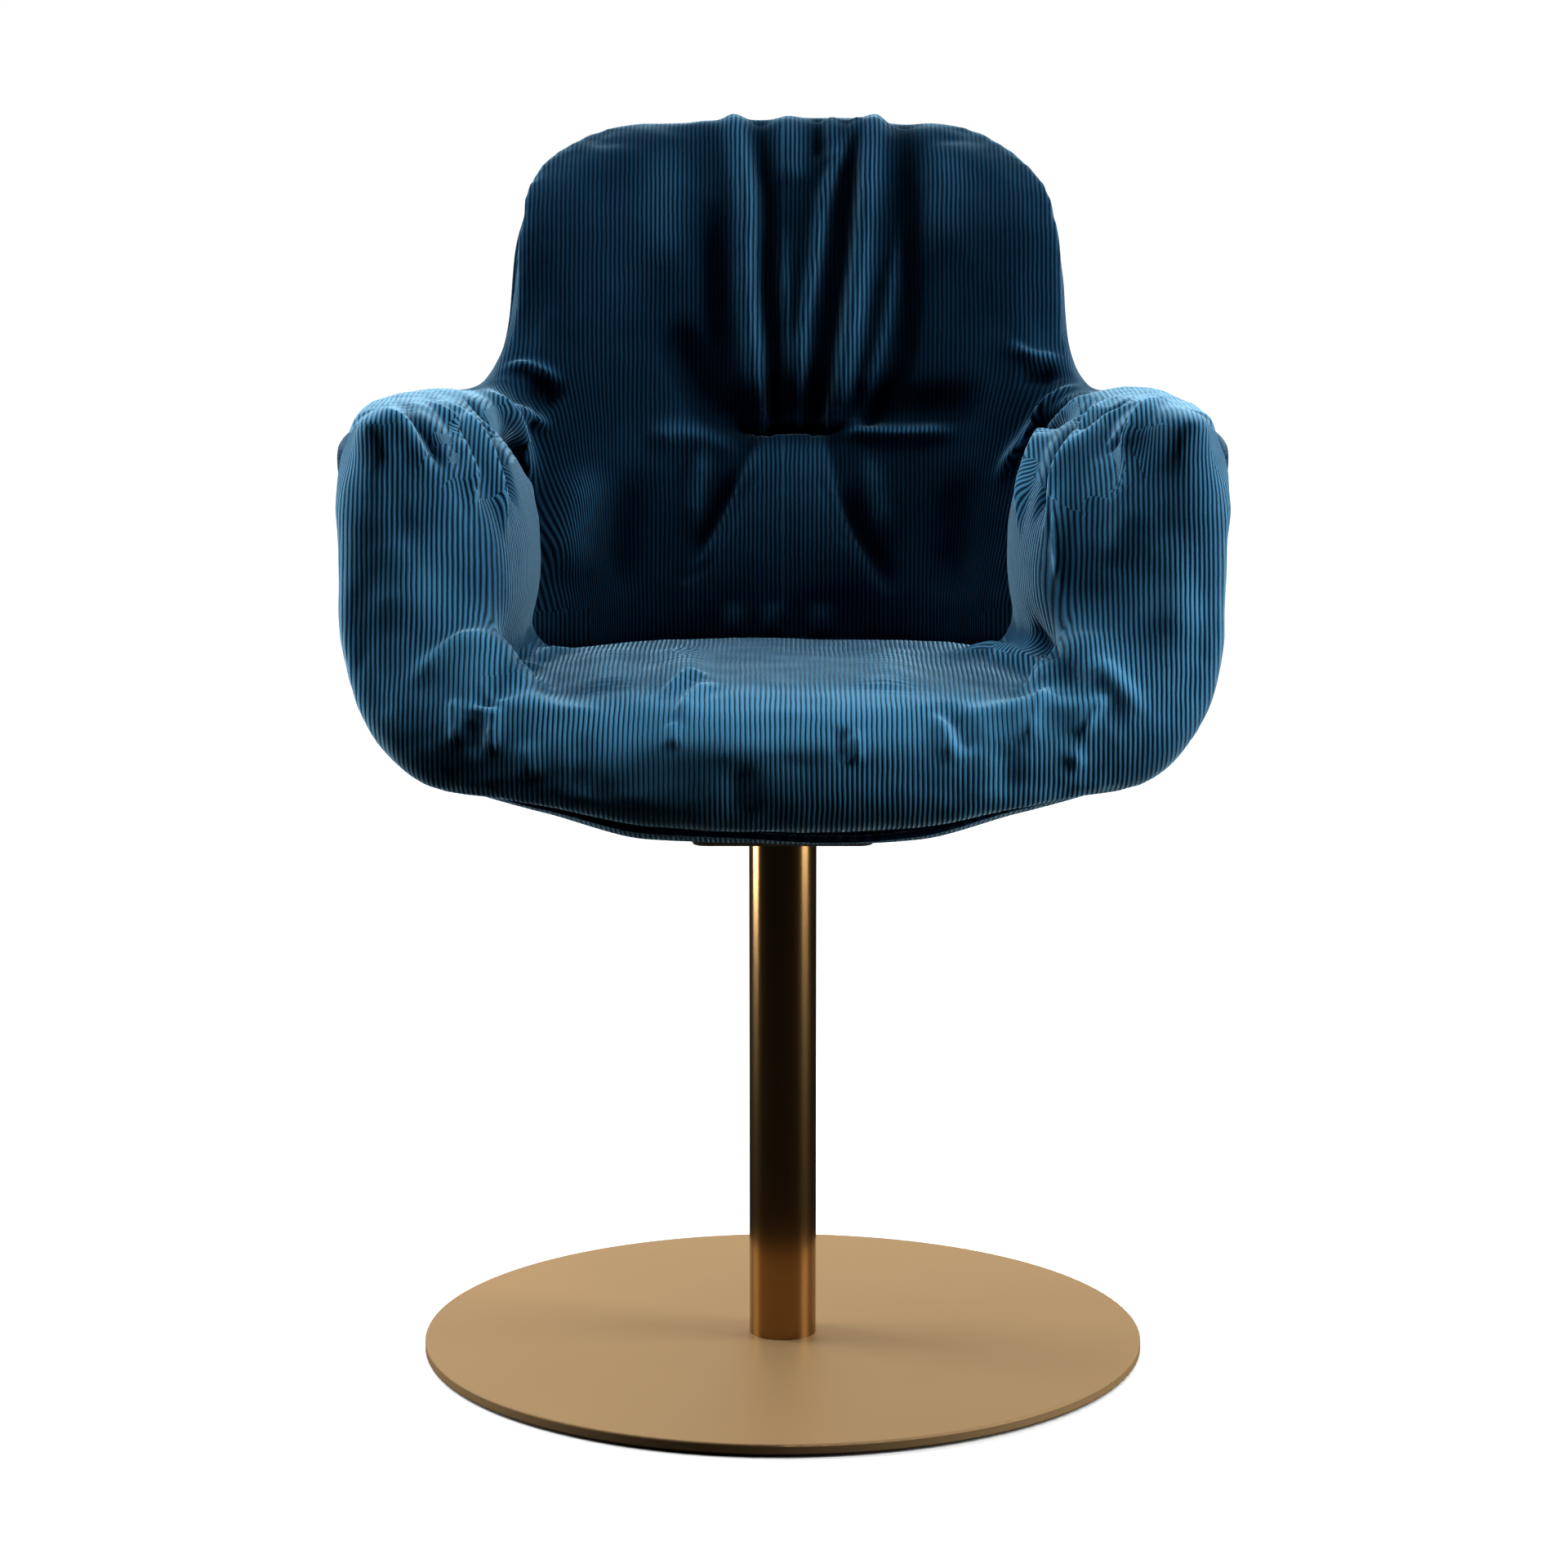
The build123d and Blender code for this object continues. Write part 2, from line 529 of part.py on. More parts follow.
PAD_ANGLE_STEPS = 8
PAD_EDGE_THICKNESS = 12.0
ARM_DRAW_IN = 5.0
ARM_PAD_RISES = (0.0, 0.05, 0.16, 0.32, 0.50, 0.68, 0.82, 0.90, 0.96, 1.0)
BACK_PAD_RISES = (0.0, 0.05, 0.16, 0.28, 0.385, 0.49, 0.62, 0.75, 0.86, 0.94, 1.0)


def wall_pad(levels, ends_at, rim_z, thickness, clear_at, dent=None):
    """A pad against the lining: crowned, drawn in at its ends and edges, and rolled outwards above the rim."""
    bottom, top = levels[0], levels[-1]
    sections = []
    for z in levels:
        fill = crown((z - bottom) / (top - bottom), 2.6)
        first, last = ends_at(z)
        angles = [first + (last - first) * k / PAD_ANGLE_STEPS for k in range(PAD_ANGLE_STEPS + 1)]
        roll = share(z, rim_z, rim_z + PAD_ROLL_HEIGHT)
        turn = share(z, rim_z + PAD_ROLL_HEIGHT, top)
        outer = PAD_OUT + clear_at(z) - (PAD_OUT + clear_at(z) - PAD_ROLL_INSET) * roll
        outer += PAD_ROLL_ROUND * (1 - (1 - turn**2) ** 0.5)

        def thickness_at(angle):
            place = (angle - first) / (last - first)
            depth = PAD_EDGE_THICKNESS + (thickness - PAD_EDGE_THICKNESS) * crown(place, 2.4) * fill
            depth *= 1 - dent(angle, z) if dent else 1
            return depth + PAD_OUT - outer

        sections.append(pad_section(angles, z, outer, thickness_at))
    return loft(sections)


def tuft_dent(angle, z):
    """How much of the back pad's thickness the sewn tuft takes away."""
    x = plan_point(angle, z, PAD_OUT)[0]
    across = exp(-((x / TUFT_HALF_WIDTH) ** 4))
    along = exp(-(((z - TUFT_Z) / TUFT_HALF_HEIGHT) ** 2))
    return TUFT_DEPTH * across * along


def arm_ends(z):
    """Plan angles of an arm pad's front and rear ends at a height."""
    draw = ARM_DRAW_IN * (1 - crown(share(z, ARM_PAD_BOTTOM_Z, ARM_PAD_TOP_Z), 2.6))
    return ARM_PAD_FRONT_ANGLE + draw, ARM_PAD_REAR_ANGLE - draw


def rim_room(z, rim_z):
    """More room between a pad and the lining just below the rim, where the pad turns outwards."""
    return RIM_CLEARANCE * share(z, rim_z - 5 * PAD_ROLL_HEIGHT, rim_z)


def arm_clearance(z):
    return ARM_SIDE_CLEARANCE + rim_room(z, ARM_TOP_FRONT_Z)


def back_clearance(z):
    return BACK_SIDE_CLEARANCE + rim_room(z, BACK_TOP_Z)


def make_arm_pad(side):
    """Arm pad of one side: +1 is the one on +X, -1 its mirror image."""
    levels = [ARM_PAD_BOTTOM_Z + (ARM_PAD_TOP_Z - ARM_PAD_BOTTOM_Z) * rise for rise in ARM_PAD_RISES]
    pad = wall_pad(levels, arm_ends, ARM_TOP_REAR_Z + LAYER_GAP, ARM_PAD_THICKNESS, arm_clearance)
    return pad if side > 0 else mirror(pad, Plane.YZ)


def round_off(distance, radius):
    """How far a round corner draws an edge in, at a distance from the corner's end."""
    away = 1 - share(distance, 0, radius)
    return radius * (1 - (1 - away**2) ** 0.5)


def back_ends(z):
    """Plan angles of the back pad's two ends at a height, from its half width and its round corners."""
    rise = share(z, BACK_PAD_BOTTOM_Z, BACK_PAD_TOP_Z)
    half = BACK_PAD_HALF_WIDTH_LOW + (BACK_PAD_HALF_WIDTH_TOP - BACK_PAD_HALF_WIDTH_LOW) * rise
    half *= plan_point(0, z, PAD_OUT)[0] / (BUCKET_HALF_WIDTH - PAD_OUT)
    half -= round_off(BACK_PAD_TOP_Z - z, BACK_PAD_CORNER_RADIUS)
    half -= round_off(z - BACK_PAD_BOTTOM_Z, BACK_PAD_LOW_CORNER)
    power = 2 / (BACK_SQUARENESS_LOW + (BACK_SQUARENESS_TOP - BACK_SQUARENESS_LOW) * share(z, BACK_LOW_Z, BUCKET_TOP_Z))
    angle = degrees(acos((half / plan_point(0, z, PAD_OUT)[0]) ** (1 / power)))
    return angle, 180 - angle


def make_back_pad():
    levels = [BACK_PAD_BOTTOM_Z + (BACK_PAD_TOP_Z - BACK_PAD_BOTTOM_Z) * rise for rise in BACK_PAD_RISES]
    return wall_pad(levels, back_ends, BACK_TOP_Z + LAYER_GAP, BACK_PAD_THICKNESS, back_clearance, tuft_dent)


def seat_point(angle, z, inset):
    """A point of the seat pad's outline: inside the lining below, and rolled forward over the lip above it."""
    edge = PAD_OUT + SEAT_SIDE_CLEARANCE
    x, y, _ = plan_point(angle, z, edge)
    roll = share(z, SEAT_NOSE_Z, SEAT_NOSE_Z + SEAT_NOSE_HEIGHT)
    ahead = max(0.0, -sin(radians(angle))) ** 1.5
    y -= SEAT_NOSE_OUT * ahead * sin(roll * pi / 2)
    half_width = plan_point(0, z, edge)[0]
    front, back = plan_point(-90, z, edge)[1], plan_point(90, z, edge)[1]
    middle, half_length = (front + back) / 2, (back - front) / 2
    return (x * (1 - inset / half_width), middle + (y - middle) * (1 - inset / half_length), z)


SEAT_BELOW = (0.0, 0.28, 0.5, 0.75, 1.0)
SEAT_FOOT_INSET = 26.0
SEAT_ABOVE = (0.3, 0.55, 0.75, 0.9, 0.98, 1.0)


def make_seat_pad():
    """Seat pad: resting in the bowl below, widest at its edge, rolled over the lip in front and crowned above."""
    sections = []
    floor = BUCKET_BOTTOM_Z + FOAM_IN + LAYER_GAP
    levels = [floor + (SEAT_EDGE_Z - floor) * rise for rise in SEAT_BELOW]
    levels += [SEAT_EDGE_Z + (SEAT_CREST_Z - SEAT_EDGE_Z) * rise for rise in SEAT_ABOVE]
    step = 360 / SEAT_POINTS
    for z in levels:
        rise = share(z, SEAT_EDGE_Z, SEAT_CREST_Z)
        inset = SEAT_CROWN_INSET * (1 - (1 - rise**2) ** 0.5)
        if z == floor:
            inset = SEAT_FOOT_INSET
        points = [seat_point(-90 + step * k, z, inset) for k in range(SEAT_POINTS)]
        sections.append(make_face(Curve() + arc_chain(points + points[:1])))
    return loft(sections)


NODES = {
    "base_plate": make_base_plate,
    "floor_liner": make_floor_liner,
    "column_tube": make_column_tube,
    "column_foot": make_column_foot,
    "base_bolt": make_base_bolt,
    "swivel_cartridge": make_swivel_cartridge,
    "upper_bush": lambda: make_bush(CARTRIDGE_TOP_Z, CARTRIDGE_TOP_Z - BUSH_LENGTH),
    "lower_bush": lambda: make_bush(LOWER_FLANGE_BOTTOM_Z, CARTRIDGE_BOTTOM_Z),
    "spindle": make_spindle,
    "thrust_washer": make_thrust_washer,
    "spindle_washer": make_spindle_washer,
    "retaining_ring": make_retaining_ring,
    "seat_mount": make_seat_mount,
    "mount_screws": lambda: at_screws(make_mount_screw()),
    "tee_nuts": lambda: at_screws(make_tee_nut()),
    "outer_cover": make_outer_cover,
    "shell_core": make_shell_core,
    "shell_foam": make_shell_foam,
    "tuft_tape": make_tuft_tape,
    "seat_pad": make_seat_pad,
    "back_pad": make_back_pad,
    "arm_pad_left": lambda: make_arm_pad(-1),
    "arm_pad_right": lambda: make_arm_pad(1),
}


def main():
    os.makedirs("parts", exist_ok=True)
    for name, make in NODES.items():
        export_step(make(), f"parts/{name}.step")


main()
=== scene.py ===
# %% [markdown]
# A swivel armchair in blue corduroy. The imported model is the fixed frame: every piece below is made in
# metres, in the same place as the solid it dresses, and rides on the body that carries it.

import json
import math
from collections import namedtuple

import bmesh
import bpy
import numpy as np
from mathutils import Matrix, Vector, noise
from mathutils.bvhtree import BVHTree
from mathutils.kdtree import KDTree


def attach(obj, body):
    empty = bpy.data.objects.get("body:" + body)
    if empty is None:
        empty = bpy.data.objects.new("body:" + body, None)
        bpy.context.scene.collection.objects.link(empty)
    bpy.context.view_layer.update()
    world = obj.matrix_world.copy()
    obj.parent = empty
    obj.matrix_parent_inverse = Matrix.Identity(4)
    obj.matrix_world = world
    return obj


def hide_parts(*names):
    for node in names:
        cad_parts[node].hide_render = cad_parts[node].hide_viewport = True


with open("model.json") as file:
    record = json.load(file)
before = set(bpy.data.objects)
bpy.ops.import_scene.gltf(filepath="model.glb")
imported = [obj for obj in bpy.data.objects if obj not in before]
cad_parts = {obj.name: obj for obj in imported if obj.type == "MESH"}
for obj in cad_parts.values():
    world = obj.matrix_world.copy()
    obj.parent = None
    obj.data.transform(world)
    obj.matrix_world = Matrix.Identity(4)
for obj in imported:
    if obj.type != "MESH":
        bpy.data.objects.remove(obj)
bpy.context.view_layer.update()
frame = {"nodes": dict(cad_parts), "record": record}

# %% [markdown]
# The photograph was taken from a little above the seat with a long lens. The lens and height below come
# from the plate's ellipse and the column's taper, so the picture's outline falls on the model's outline. The
# same numbers turn a pixel of the photograph into a ray, which later lays each fold of the cloth where the
# photograph shows it.

# %% Camera
PHOTO_PIXELS = 1920
FOCAL_PIXELS = 5260
CAMERA_Y, CAMERA_Z = -3.021, 0.9325
CAMERA_TILT = math.radians(9.74)
AXIS_PIXEL = 958.5
lens = bpy.data.cameras.new("photo_lens")
lens.sensor_width = 36
lens.lens = FOCAL_PIXELS / PHOTO_PIXELS * lens.sensor_width
lens.shift_x = (PHOTO_PIXELS / 2 - AXIS_PIXEL) / PHOTO_PIXELS
camera = bpy.data.objects.new("photo_camera", lens)
bpy.context.scene.collection.objects.link(camera)
camera.location = (0, CAMERA_Y, CAMERA_Z)
camera.rotation_euler = (math.pi / 2 - CAMERA_TILT, 0, 0)
bpy.context.scene.camera = camera


def photo_ray(pixel):
    """The direction from the camera through one pixel of the photograph."""
    across = (pixel[0] - AXIS_PIXEL) / FOCAL_PIXELS
    up = (PHOTO_PIXELS / 2 - pixel[1]) / FOCAL_PIXELS
    forward = Vector((0, math.cos(CAMERA_TILT), -math.sin(CAMERA_TILT)))
    upward = Vector((0, math.sin(CAMERA_TILT), math.cos(CAMERA_TILT)))
    return (forward + Vector((across, 0, 0)) + upward * up).normalized()


print("camera lens", round(lens.lens, 1), "mm")

# %% [markdown]
# A pale floor without an end, as a paper sweep gives in a studio. A real white floor throws light up under
# the chair, and the photograph shows hardly any there. So one shader is what the camera sees, and a nearly
# black one is what the light meets.

# %% Floor
FLOOR_SIZE = 80
PAPER_SEEN = (0.52, 0.52, 0.52)
PAPER_LIT = (0.006, 0.006, 0.006)


def select_only(*objects):
    """Selects these objects and nothing else, with the first one active."""
    bpy.ops.object.select_all(action="DESELECT")
    for one in objects:
        one.select_set(True)
    bpy.context.view_layer.objects.active = objects[0]


def new_material(name, colour=(0.5, 0.5, 0.5), roughness=0.5, metallic=0.0):
    """A node material with its plain values set on the shader's own sockets."""
    material = bpy.data.materials.new(name)
    material.use_nodes = True
    shader = material.node_tree.nodes["Principled BSDF"]
    shader.inputs["Base Color"].default_value = (*colour, 1)
    shader.inputs["Roughness"].default_value = roughness
    shader.inputs["Metallic"].default_value = metallic
    return material, material.node_tree.nodes, material.node_tree.links, shader


bpy.ops.object.select_all(action="DESELECT")
bpy.ops.mesh.primitive_plane_add(size=FLOOR_SIZE, location=(0, 0, 0))
floor = bpy.context.object
floor.name = "studio_floor"
paper, paper_nodes, paper_links, seen_paper = new_material("studio_paper", PAPER_SEEN, 1.0)
seen_paper.inputs["Specular IOR Level"].default_value = 0
lit_paper = paper_nodes.new("ShaderNodeBsdfDiffuse")
lit_paper.inputs["Color"].default_value = (*PAPER_LIT, 1)
paper_path = paper_nodes.new("ShaderNodeLightPath")
paper_pick = paper_nodes.new("ShaderNodeMixShader")
paper_links.new(paper_path.outputs["Is Camera Ray"], paper_pick.inputs["Fac"])
paper_links.new(lit_paper.outputs["BSDF"], paper_pick.inputs[1])
paper_links.new(seen_paper.outputs["BSDF"], paper_pick.inputs[2])
paper_links.new(paper_pick.outputs["Shader"], paper_nodes["Material Output"].inputs["Surface"])
floor.data.materials.append(paper)
print("floor:", FLOOR_SIZE, "m square")

# %% [markdown]
# Three lights. A very wide sun stands for the bright ceiling. It comes from above and a little behind, so the
# seat and the arm tops are light and the backrest stays dark. Two tall strips at the sides draw the bright
# lines down the round column, where a lamp without size would leave only a spot.

# %% Lights
SKY_STRENGTH = 5.2
SKY_SPREAD = math.radians(100)
SKY_LEAN = math.radians(-24)
Strip = namedtuple("Strip", "name place target width height power")
STRIPS = (
    Strip("right_strip", (2.2, -0.3, 1.0), (0, 0, 0.5), 1.1, 2.2, 140),
    Strip("left_strip", (-1.4, 0.4, 0.9), (0, 0, 0.4), 0.8, 2.2, 78),
)


def hang(name, lamp):
    """Puts a lamp in the scene and returns its object."""
    holder = bpy.data.objects.new(name, lamp)
    bpy.context.scene.collection.objects.link(holder)
    return holder


def sky_light():
    """A wide soft sun from above and a little behind, which reaches the whole floor alike."""
    lamp = bpy.data.lights.new("sky", "SUN")
    lamp.energy = SKY_STRENGTH
    lamp.angle = SKY_SPREAD
    hang("sky", lamp).rotation_euler = (SKY_LEAN, 0, 0)


def strip_light(strip):
    """A tall soft light that looks at a point."""
    lamp = bpy.data.lights.new(strip.name, "AREA")
    lamp.shape = "RECTANGLE"
    lamp.size = strip.width
    lamp.size_y = strip.height
    lamp.energy = strip.power
    holder = hang(strip.name, lamp)
    holder.location = strip.place
    way = Vector(strip.target) - Vector(strip.place)
    holder.rotation_euler = way.to_track_quat("-Z", "Y").to_euler()


sky_light()
for strip in STRIPS:
    strip_light(strip)
print("lights: sky,", ", ".join(strip.name for strip in STRIPS))

# %% [markdown]
# The room is bright above and behind the chair and dark on the camera's side, which is what leaves the
# column's middle nearly black in the photograph. The brightness follows how far a direction points to the
# bright side. The camera itself sees plain white.

# %% Room
BRIGHT_SIDE = (0.0, 0.75, 0.65)
ROOM_EDGE, ROOM_CORE = -0.15, 0.85
ROOM_DARK, ROOM_BRIGHT = 0.004, 1.05
ROOM_COLOUR = (0.96, 0.98, 1.0, 1)
world = bpy.data.worlds.new("studio_world")
bpy.context.scene.world = world
world.use_nodes = True
room_nodes, room_links = world.node_tree.nodes, world.node_tree.links
seen = room_nodes.new("ShaderNodeBackground")
seen.inputs["Color"].default_value = (1, 1, 1, 1)
around = room_nodes["Background"]
direction = room_nodes.new("ShaderNodeTexCoord")
toward = room_nodes.new("ShaderNodeVectorMath")
toward.operation = "DOT_PRODUCT"
toward.inputs[1].default_value = BRIGHT_SIDE
room_links.new(direction.outputs["Generated"], toward.inputs[0])
brightness = room_nodes.new("ShaderNodeMapRange")
brightness.interpolation_type = "SMOOTHSTEP"
brightness.inputs["From Min"].default_value = ROOM_EDGE
brightness.inputs["From Max"].default_value = ROOM_CORE
brightness.inputs["To Min"].default_value = ROOM_DARK
brightness.inputs["To Max"].default_value = ROOM_BRIGHT
room_links.new(toward.outputs["Value"], brightness.inputs["Value"])
room_links.new(brightness.outputs["Result"], around.inputs["Strength"])
around.inputs["Color"].default_value = ROOM_COLOUR
room_path = room_nodes.new("ShaderNodeLightPath")
room_pick = room_nodes.new("ShaderNodeMixShader")
room_links.new(room_path.outputs["Is Camera Ray"], room_pick.inputs["Fac"])
room_links.new(around.outputs["Background"], room_pick.inputs[1])
room_links.new(seen.outputs["Background"], room_pick.inputs[2])
room_links.new(room_pick.outputs["Shader"], room_nodes["World Output"].inputs["Surface"])
bpy.context.scene.view_settings.view_transform = "Standard"
print("room: brightness from", ROOM_DARK, "to", ROOM_BRIGHT)

# %% [markdown]
# The upholstery starts as the solids that the frame holds. Each soft piece is copied, its loose triangles are
# merged, and a voxel remesh welds copies and extra filling into one skin. Swelling that skin and shrinking it
# again closes the narrow slots, as a sewn cover does.

# %% Copies and modifiers
DOUBLES_WITHIN = 0.00002


def copy_node(node, name):
    """A free copy of a CAD node's mesh, its doubles merged."""
    copy = bpy.data.objects.new(name, frame["nodes"][node].data.copy())
    bpy.context.scene.collection.objects.link(copy)
    select_only(copy)
    bpy.ops.object.mode_set(mode="EDIT")
    bpy.ops.mesh.select_all(action="SELECT")
    bpy.ops.mesh.remove_doubles(threshold=DOUBLES_WITHIN)
    bpy.ops.object.mode_set(mode="OBJECT")
    copy.data.materials.clear()
    return copy


def apply_modifier(piece, kind, **settings):
    """Adds one modifier to a piece with these settings and applies it."""
    select_only(piece)
    modifier = piece.modifiers.new(kind.lower(), kind)
    for key, value in settings.items():
        setattr(modifier, key, value)
    bpy.ops.object.modifier_apply(modifier=modifier.name)


def weld(piece, voxel):
    """One closed skin of even squares round all that the piece holds."""
    apply_modifier(piece, "REMESH", mode="VOXEL", voxel_size=voxel, use_smooth_shade=True)


def swell(piece, distance):
    """Moves the whole skin out, or in where the distance is below zero."""
    apply_modifier(piece, "DISPLACE", strength=distance, mid_level=0.0, direction="NORMAL")


def join(first, *others):
    """One object out of several."""
    select_only(first, *others)
    bpy.ops.object.join()
    return first


def points_of(piece):
    """The piece's points as an array."""
    flat = np.empty(len(piece.data.vertices) * 3, dtype=np.float32)
    piece.data.vertices.foreach_get("co", flat)
    return flat.reshape(-1, 3).astype(float)


def normals_of(piece):
    """The direction that the skin faces at each of its points."""
    flat = np.empty(len(piece.data.vertices) * 3, dtype=np.float32)
    piece.data.vertex_normals.foreach_get("vector", flat)
    return flat.reshape(-1, 3).astype(float)


def set_points(piece, points):
    """Moves the piece's points to these places."""
    piece.data.vertices.foreach_set("co", np.ascontiguousarray(points, dtype=np.float32).ravel())
    piece.data.update()


print("nodes to copy from:", len(frame["nodes"]))

# %% [markdown]
# The shell is a stiff moulding with corduroy pulled tight over its outside. It only needs its own two layers
# welded into one smooth wall, because the quilt covers the inside and the edge. The cover draws the whole
# bucket in by a few millimetres. That soft move depends only on where a point is, so the shell, the quilt and
# the welt stay together. The draws are shares of the half width, and each pair below is where one starts and
# where it is full.

# %% Weld the shell
SHELL_VOXEL = 0.004
SKIN_SMOOTHING = 8
WAIST_DRAW = 0.020
WAIST_LOW, WAIST_HIGH = (0.42, 0.48), (0.60, 0.66)
BACK_DRAW_LEFT, BACK_DRAW_RIGHT = 0.026, 0.010
BACK_LOW, BACK_HIGH = (0.68, 0.74), (0.80, 0.86)
KEEL_LIFT = 0.007
KEEL_SIDE, KEEL_TOP = (0.09, 0.16), (0.42, 0.455)


def fade(values, start, end):
    """0 before start, 1 after end, and smooth between them."""
    t = np.clip((values - start) / (end - start), 0, 1)
    return t * t * (3 - 2 * t)


def draw_in(points):
    """Narrows the arms and the backrest a little and lifts the sides of the keel."""
    x, y, z = points.T
    waist = WAIST_DRAW * fade(z, *WAIST_LOW) * (1 - fade(z, *WAIST_HIGH))
    back_draw = np.where(x < 0, BACK_DRAW_LEFT, BACK_DRAW_RIGHT)
    back = back_draw * fade(z, *BACK_LOW) * (1 - fade(z, *BACK_HIGH))
    lift = KEEL_LIFT * fade(np.abs(x), *KEEL_SIDE) * (1 - fade(z, *KEEL_TOP))
    return np.stack([x * (1 - waist - back), y, z + lift], axis=1)


shell = join(copy_node("outer_cover", "shell_cover"), copy_node("shell_core", "core_copy"))
weld(shell, SHELL_VOXEL)
apply_modifier(shell, "SMOOTH", factor=0.5, iterations=SKIN_SMOOTHING)
apply_modifier(shell, "SUBSURF", levels=1, render_levels=1)
set_points(shell, draw_in(points_of(shell)))
print("shell:", len(shell.data.polygons), "faces")

# %% [markdown]
# The quilt is one loose cover over all four pads. Its edge hangs over the shell's edge in a fat roll: across
# below the seat, up both arm fronts, back along the arm tops, and up and over the backrest. The roll is a
# closed curve with a round section, given by a few places on the right side and mirrored. A curve is chosen
# because its radius can change from place to place.

# %% Edge roll
Place = namedtuple("Place", "x y z radius")
ROLL_PLACES = (
    Place(0.000, -0.250, 0.458, 0.034),
    Place(0.090, -0.247, 0.460, 0.034),
    Place(0.165, -0.232, 0.470, 0.035),
    Place(0.239, -0.206, 0.485, 0.041),
    Place(0.261, -0.180, 0.526, 0.040),
    Place(0.266, -0.163, 0.585, 0.038),
    Place(0.266, -0.148, 0.632, 0.041),
    Place(0.265, -0.112, 0.655, 0.038),
    Place(0.262, -0.040, 0.662, 0.033),
    Place(0.250, 0.050, 0.669, 0.029),
    Place(0.223, 0.128, 0.669, 0.025),
    Place(0.196, 0.170, 0.694, 0.022),
    Place(0.187, 0.192, 0.752, 0.020),
    Place(0.183, 0.209, 0.796, 0.020),
    Place(0.170, 0.228, 0.836, 0.020),
    Place(0.134, 0.245, 0.860, 0.019),
    Place(0.070, 0.254, 0.866, 0.018),
    Place(0.000, 0.257, 0.867, 0.018),
)


def tube_of(name, places, closed):
    """A mesh tube with a round section along a smooth curve through places with their own radius."""
    line = bpy.data.curves.new(name, "CURVE")
    line.dimensions = "3D"
    line.bevel_depth = 1.0
    line.bevel_resolution = 5
    spline = line.splines.new("NURBS")
    spline.points.add(len(places) - 1)
    for point, place in zip(spline.points, places):
        point.co = (place.x, place.y, place.z, 1)
        point.radius = place.radius
    spline.order_u = 3
    spline.use_cyclic_u = closed
    spline.use_endpoint_u = not closed
    spline.resolution_u = 6
    tube = bpy.data.objects.new(name, line)
    bpy.context.scene.collection.objects.link(tube)
    select_only(tube)
    bpy.ops.object.convert(target="MESH")
    return bpy.context.object


def edge_roll():
    """The roll along the whole edge of the shell, the same on both sides."""
    mirrored = [place._replace(x=-place.x) for place in reversed(ROLL_PLACES[1:-1])]
    return tube_of("edge_roll", list(ROLL_PLACES) + mirrored, True)


print("edge roll through", len(ROLL_PLACES), "places on each side")

# %% [markdown]
# Inside the cover are lumps of filling, which make the arms fat and the lower backrest full. Each starts as a
# sphere that is stretched and placed. The right arm is a little fuller than the left one. The lumps
# only push the skin out, so they vanish in the weld that follows.

# %% Lumps of filling
Lump = namedtuple("Lump", "name place radii")
ARM_FULLNESS = {-1: 0.049, 1: 0.056}
ARM_OUTSIDE, ARM_LUMP_Y, ARM_LUMP_Z = 0.276, -0.040, 0.583
ARM_LUMP_LENGTH, ARM_LUMP_HEIGHT = 0.140, 0.098
ARM_LUMPS = (
    Lump("arm_front_lump", (0.250, -0.140, 0.590), (0.044, 0.055, 0.095)),
    Lump("arm_top_lump", (0.262, -0.115, 0.625), (0.039, 0.070, 0.066)),
    Lump("corner_lump", (0.218, -0.190, 0.505), (0.042, 0.048, 0.045)),
)
BACK_LUMP = Lump("back_filling", (0, 0.19, 0.615), (0.13, 0.034, 0.16))
BACK_LEAN = -math.radians(12.7)


def ball(name, place, radii, lean=0.0):
    """An egg-shaped lump of filling, leaning back by an angle."""
    bpy.ops.object.select_all(action="DESELECT")
    bpy.ops.mesh.primitive_uv_sphere_add(segments=32, ring_count=16, radius=1, location=place)
    lump = bpy.context.object
    lump.name = name
    lump.scale = radii
    lump.rotation_euler = (lean, 0, 0)
    bpy.ops.object.transform_apply(location=True, rotation=True, scale=True)
    return lump


def arm_filling():
    """Lumps for both arms: along the inside, behind the front, under the top and in the lower corner."""
    lumps = []
    for side, fullness in ARM_FULLNESS.items():
        inside = (side * (ARM_OUTSIDE - fullness), ARM_LUMP_Y, ARM_LUMP_Z)
        lumps.append(ball("arm_lump", inside, (fullness, ARM_LUMP_LENGTH, ARM_LUMP_HEIGHT)))
        for one in ARM_LUMPS:
            x, y, z = one.place
            lumps.append(ball(one.name, (side * x, y, z), one.radii))
    return lumps


print("lumps:", len(ARM_LUMPS) + 1, "in each arm and one in the back")

# %% [markdown]
# The seat's group and the back's group are welded apart, so that the seat keeps a deep crease behind it. Both
# groups hold copies of the arm pads and of the shell's lining, which close the cover behind the pads. The two
# groups are then joined and welded once more, in finer squares, and smoothed.

# %% Weld the quilt
VOXEL = 0.006
FINE_VOXEL = 0.005
CLOSING = 0.013
SHARED_NODES = ("arm_pad_left", "arm_pad_right", "shell_foam", "shell_core")


def close_slots(piece):
    """Welds a group of copies and fills what is narrower than twice the closing distance."""
    weld(piece, VOXEL)
    swell(piece, CLOSING)
    weld(piece, VOXEL)
    swell(piece, -CLOSING)
    return piece


def copies(nodes):
    """Free copies of several CAD nodes."""
    return [copy_node(node, node + "_copy") for node in nodes]


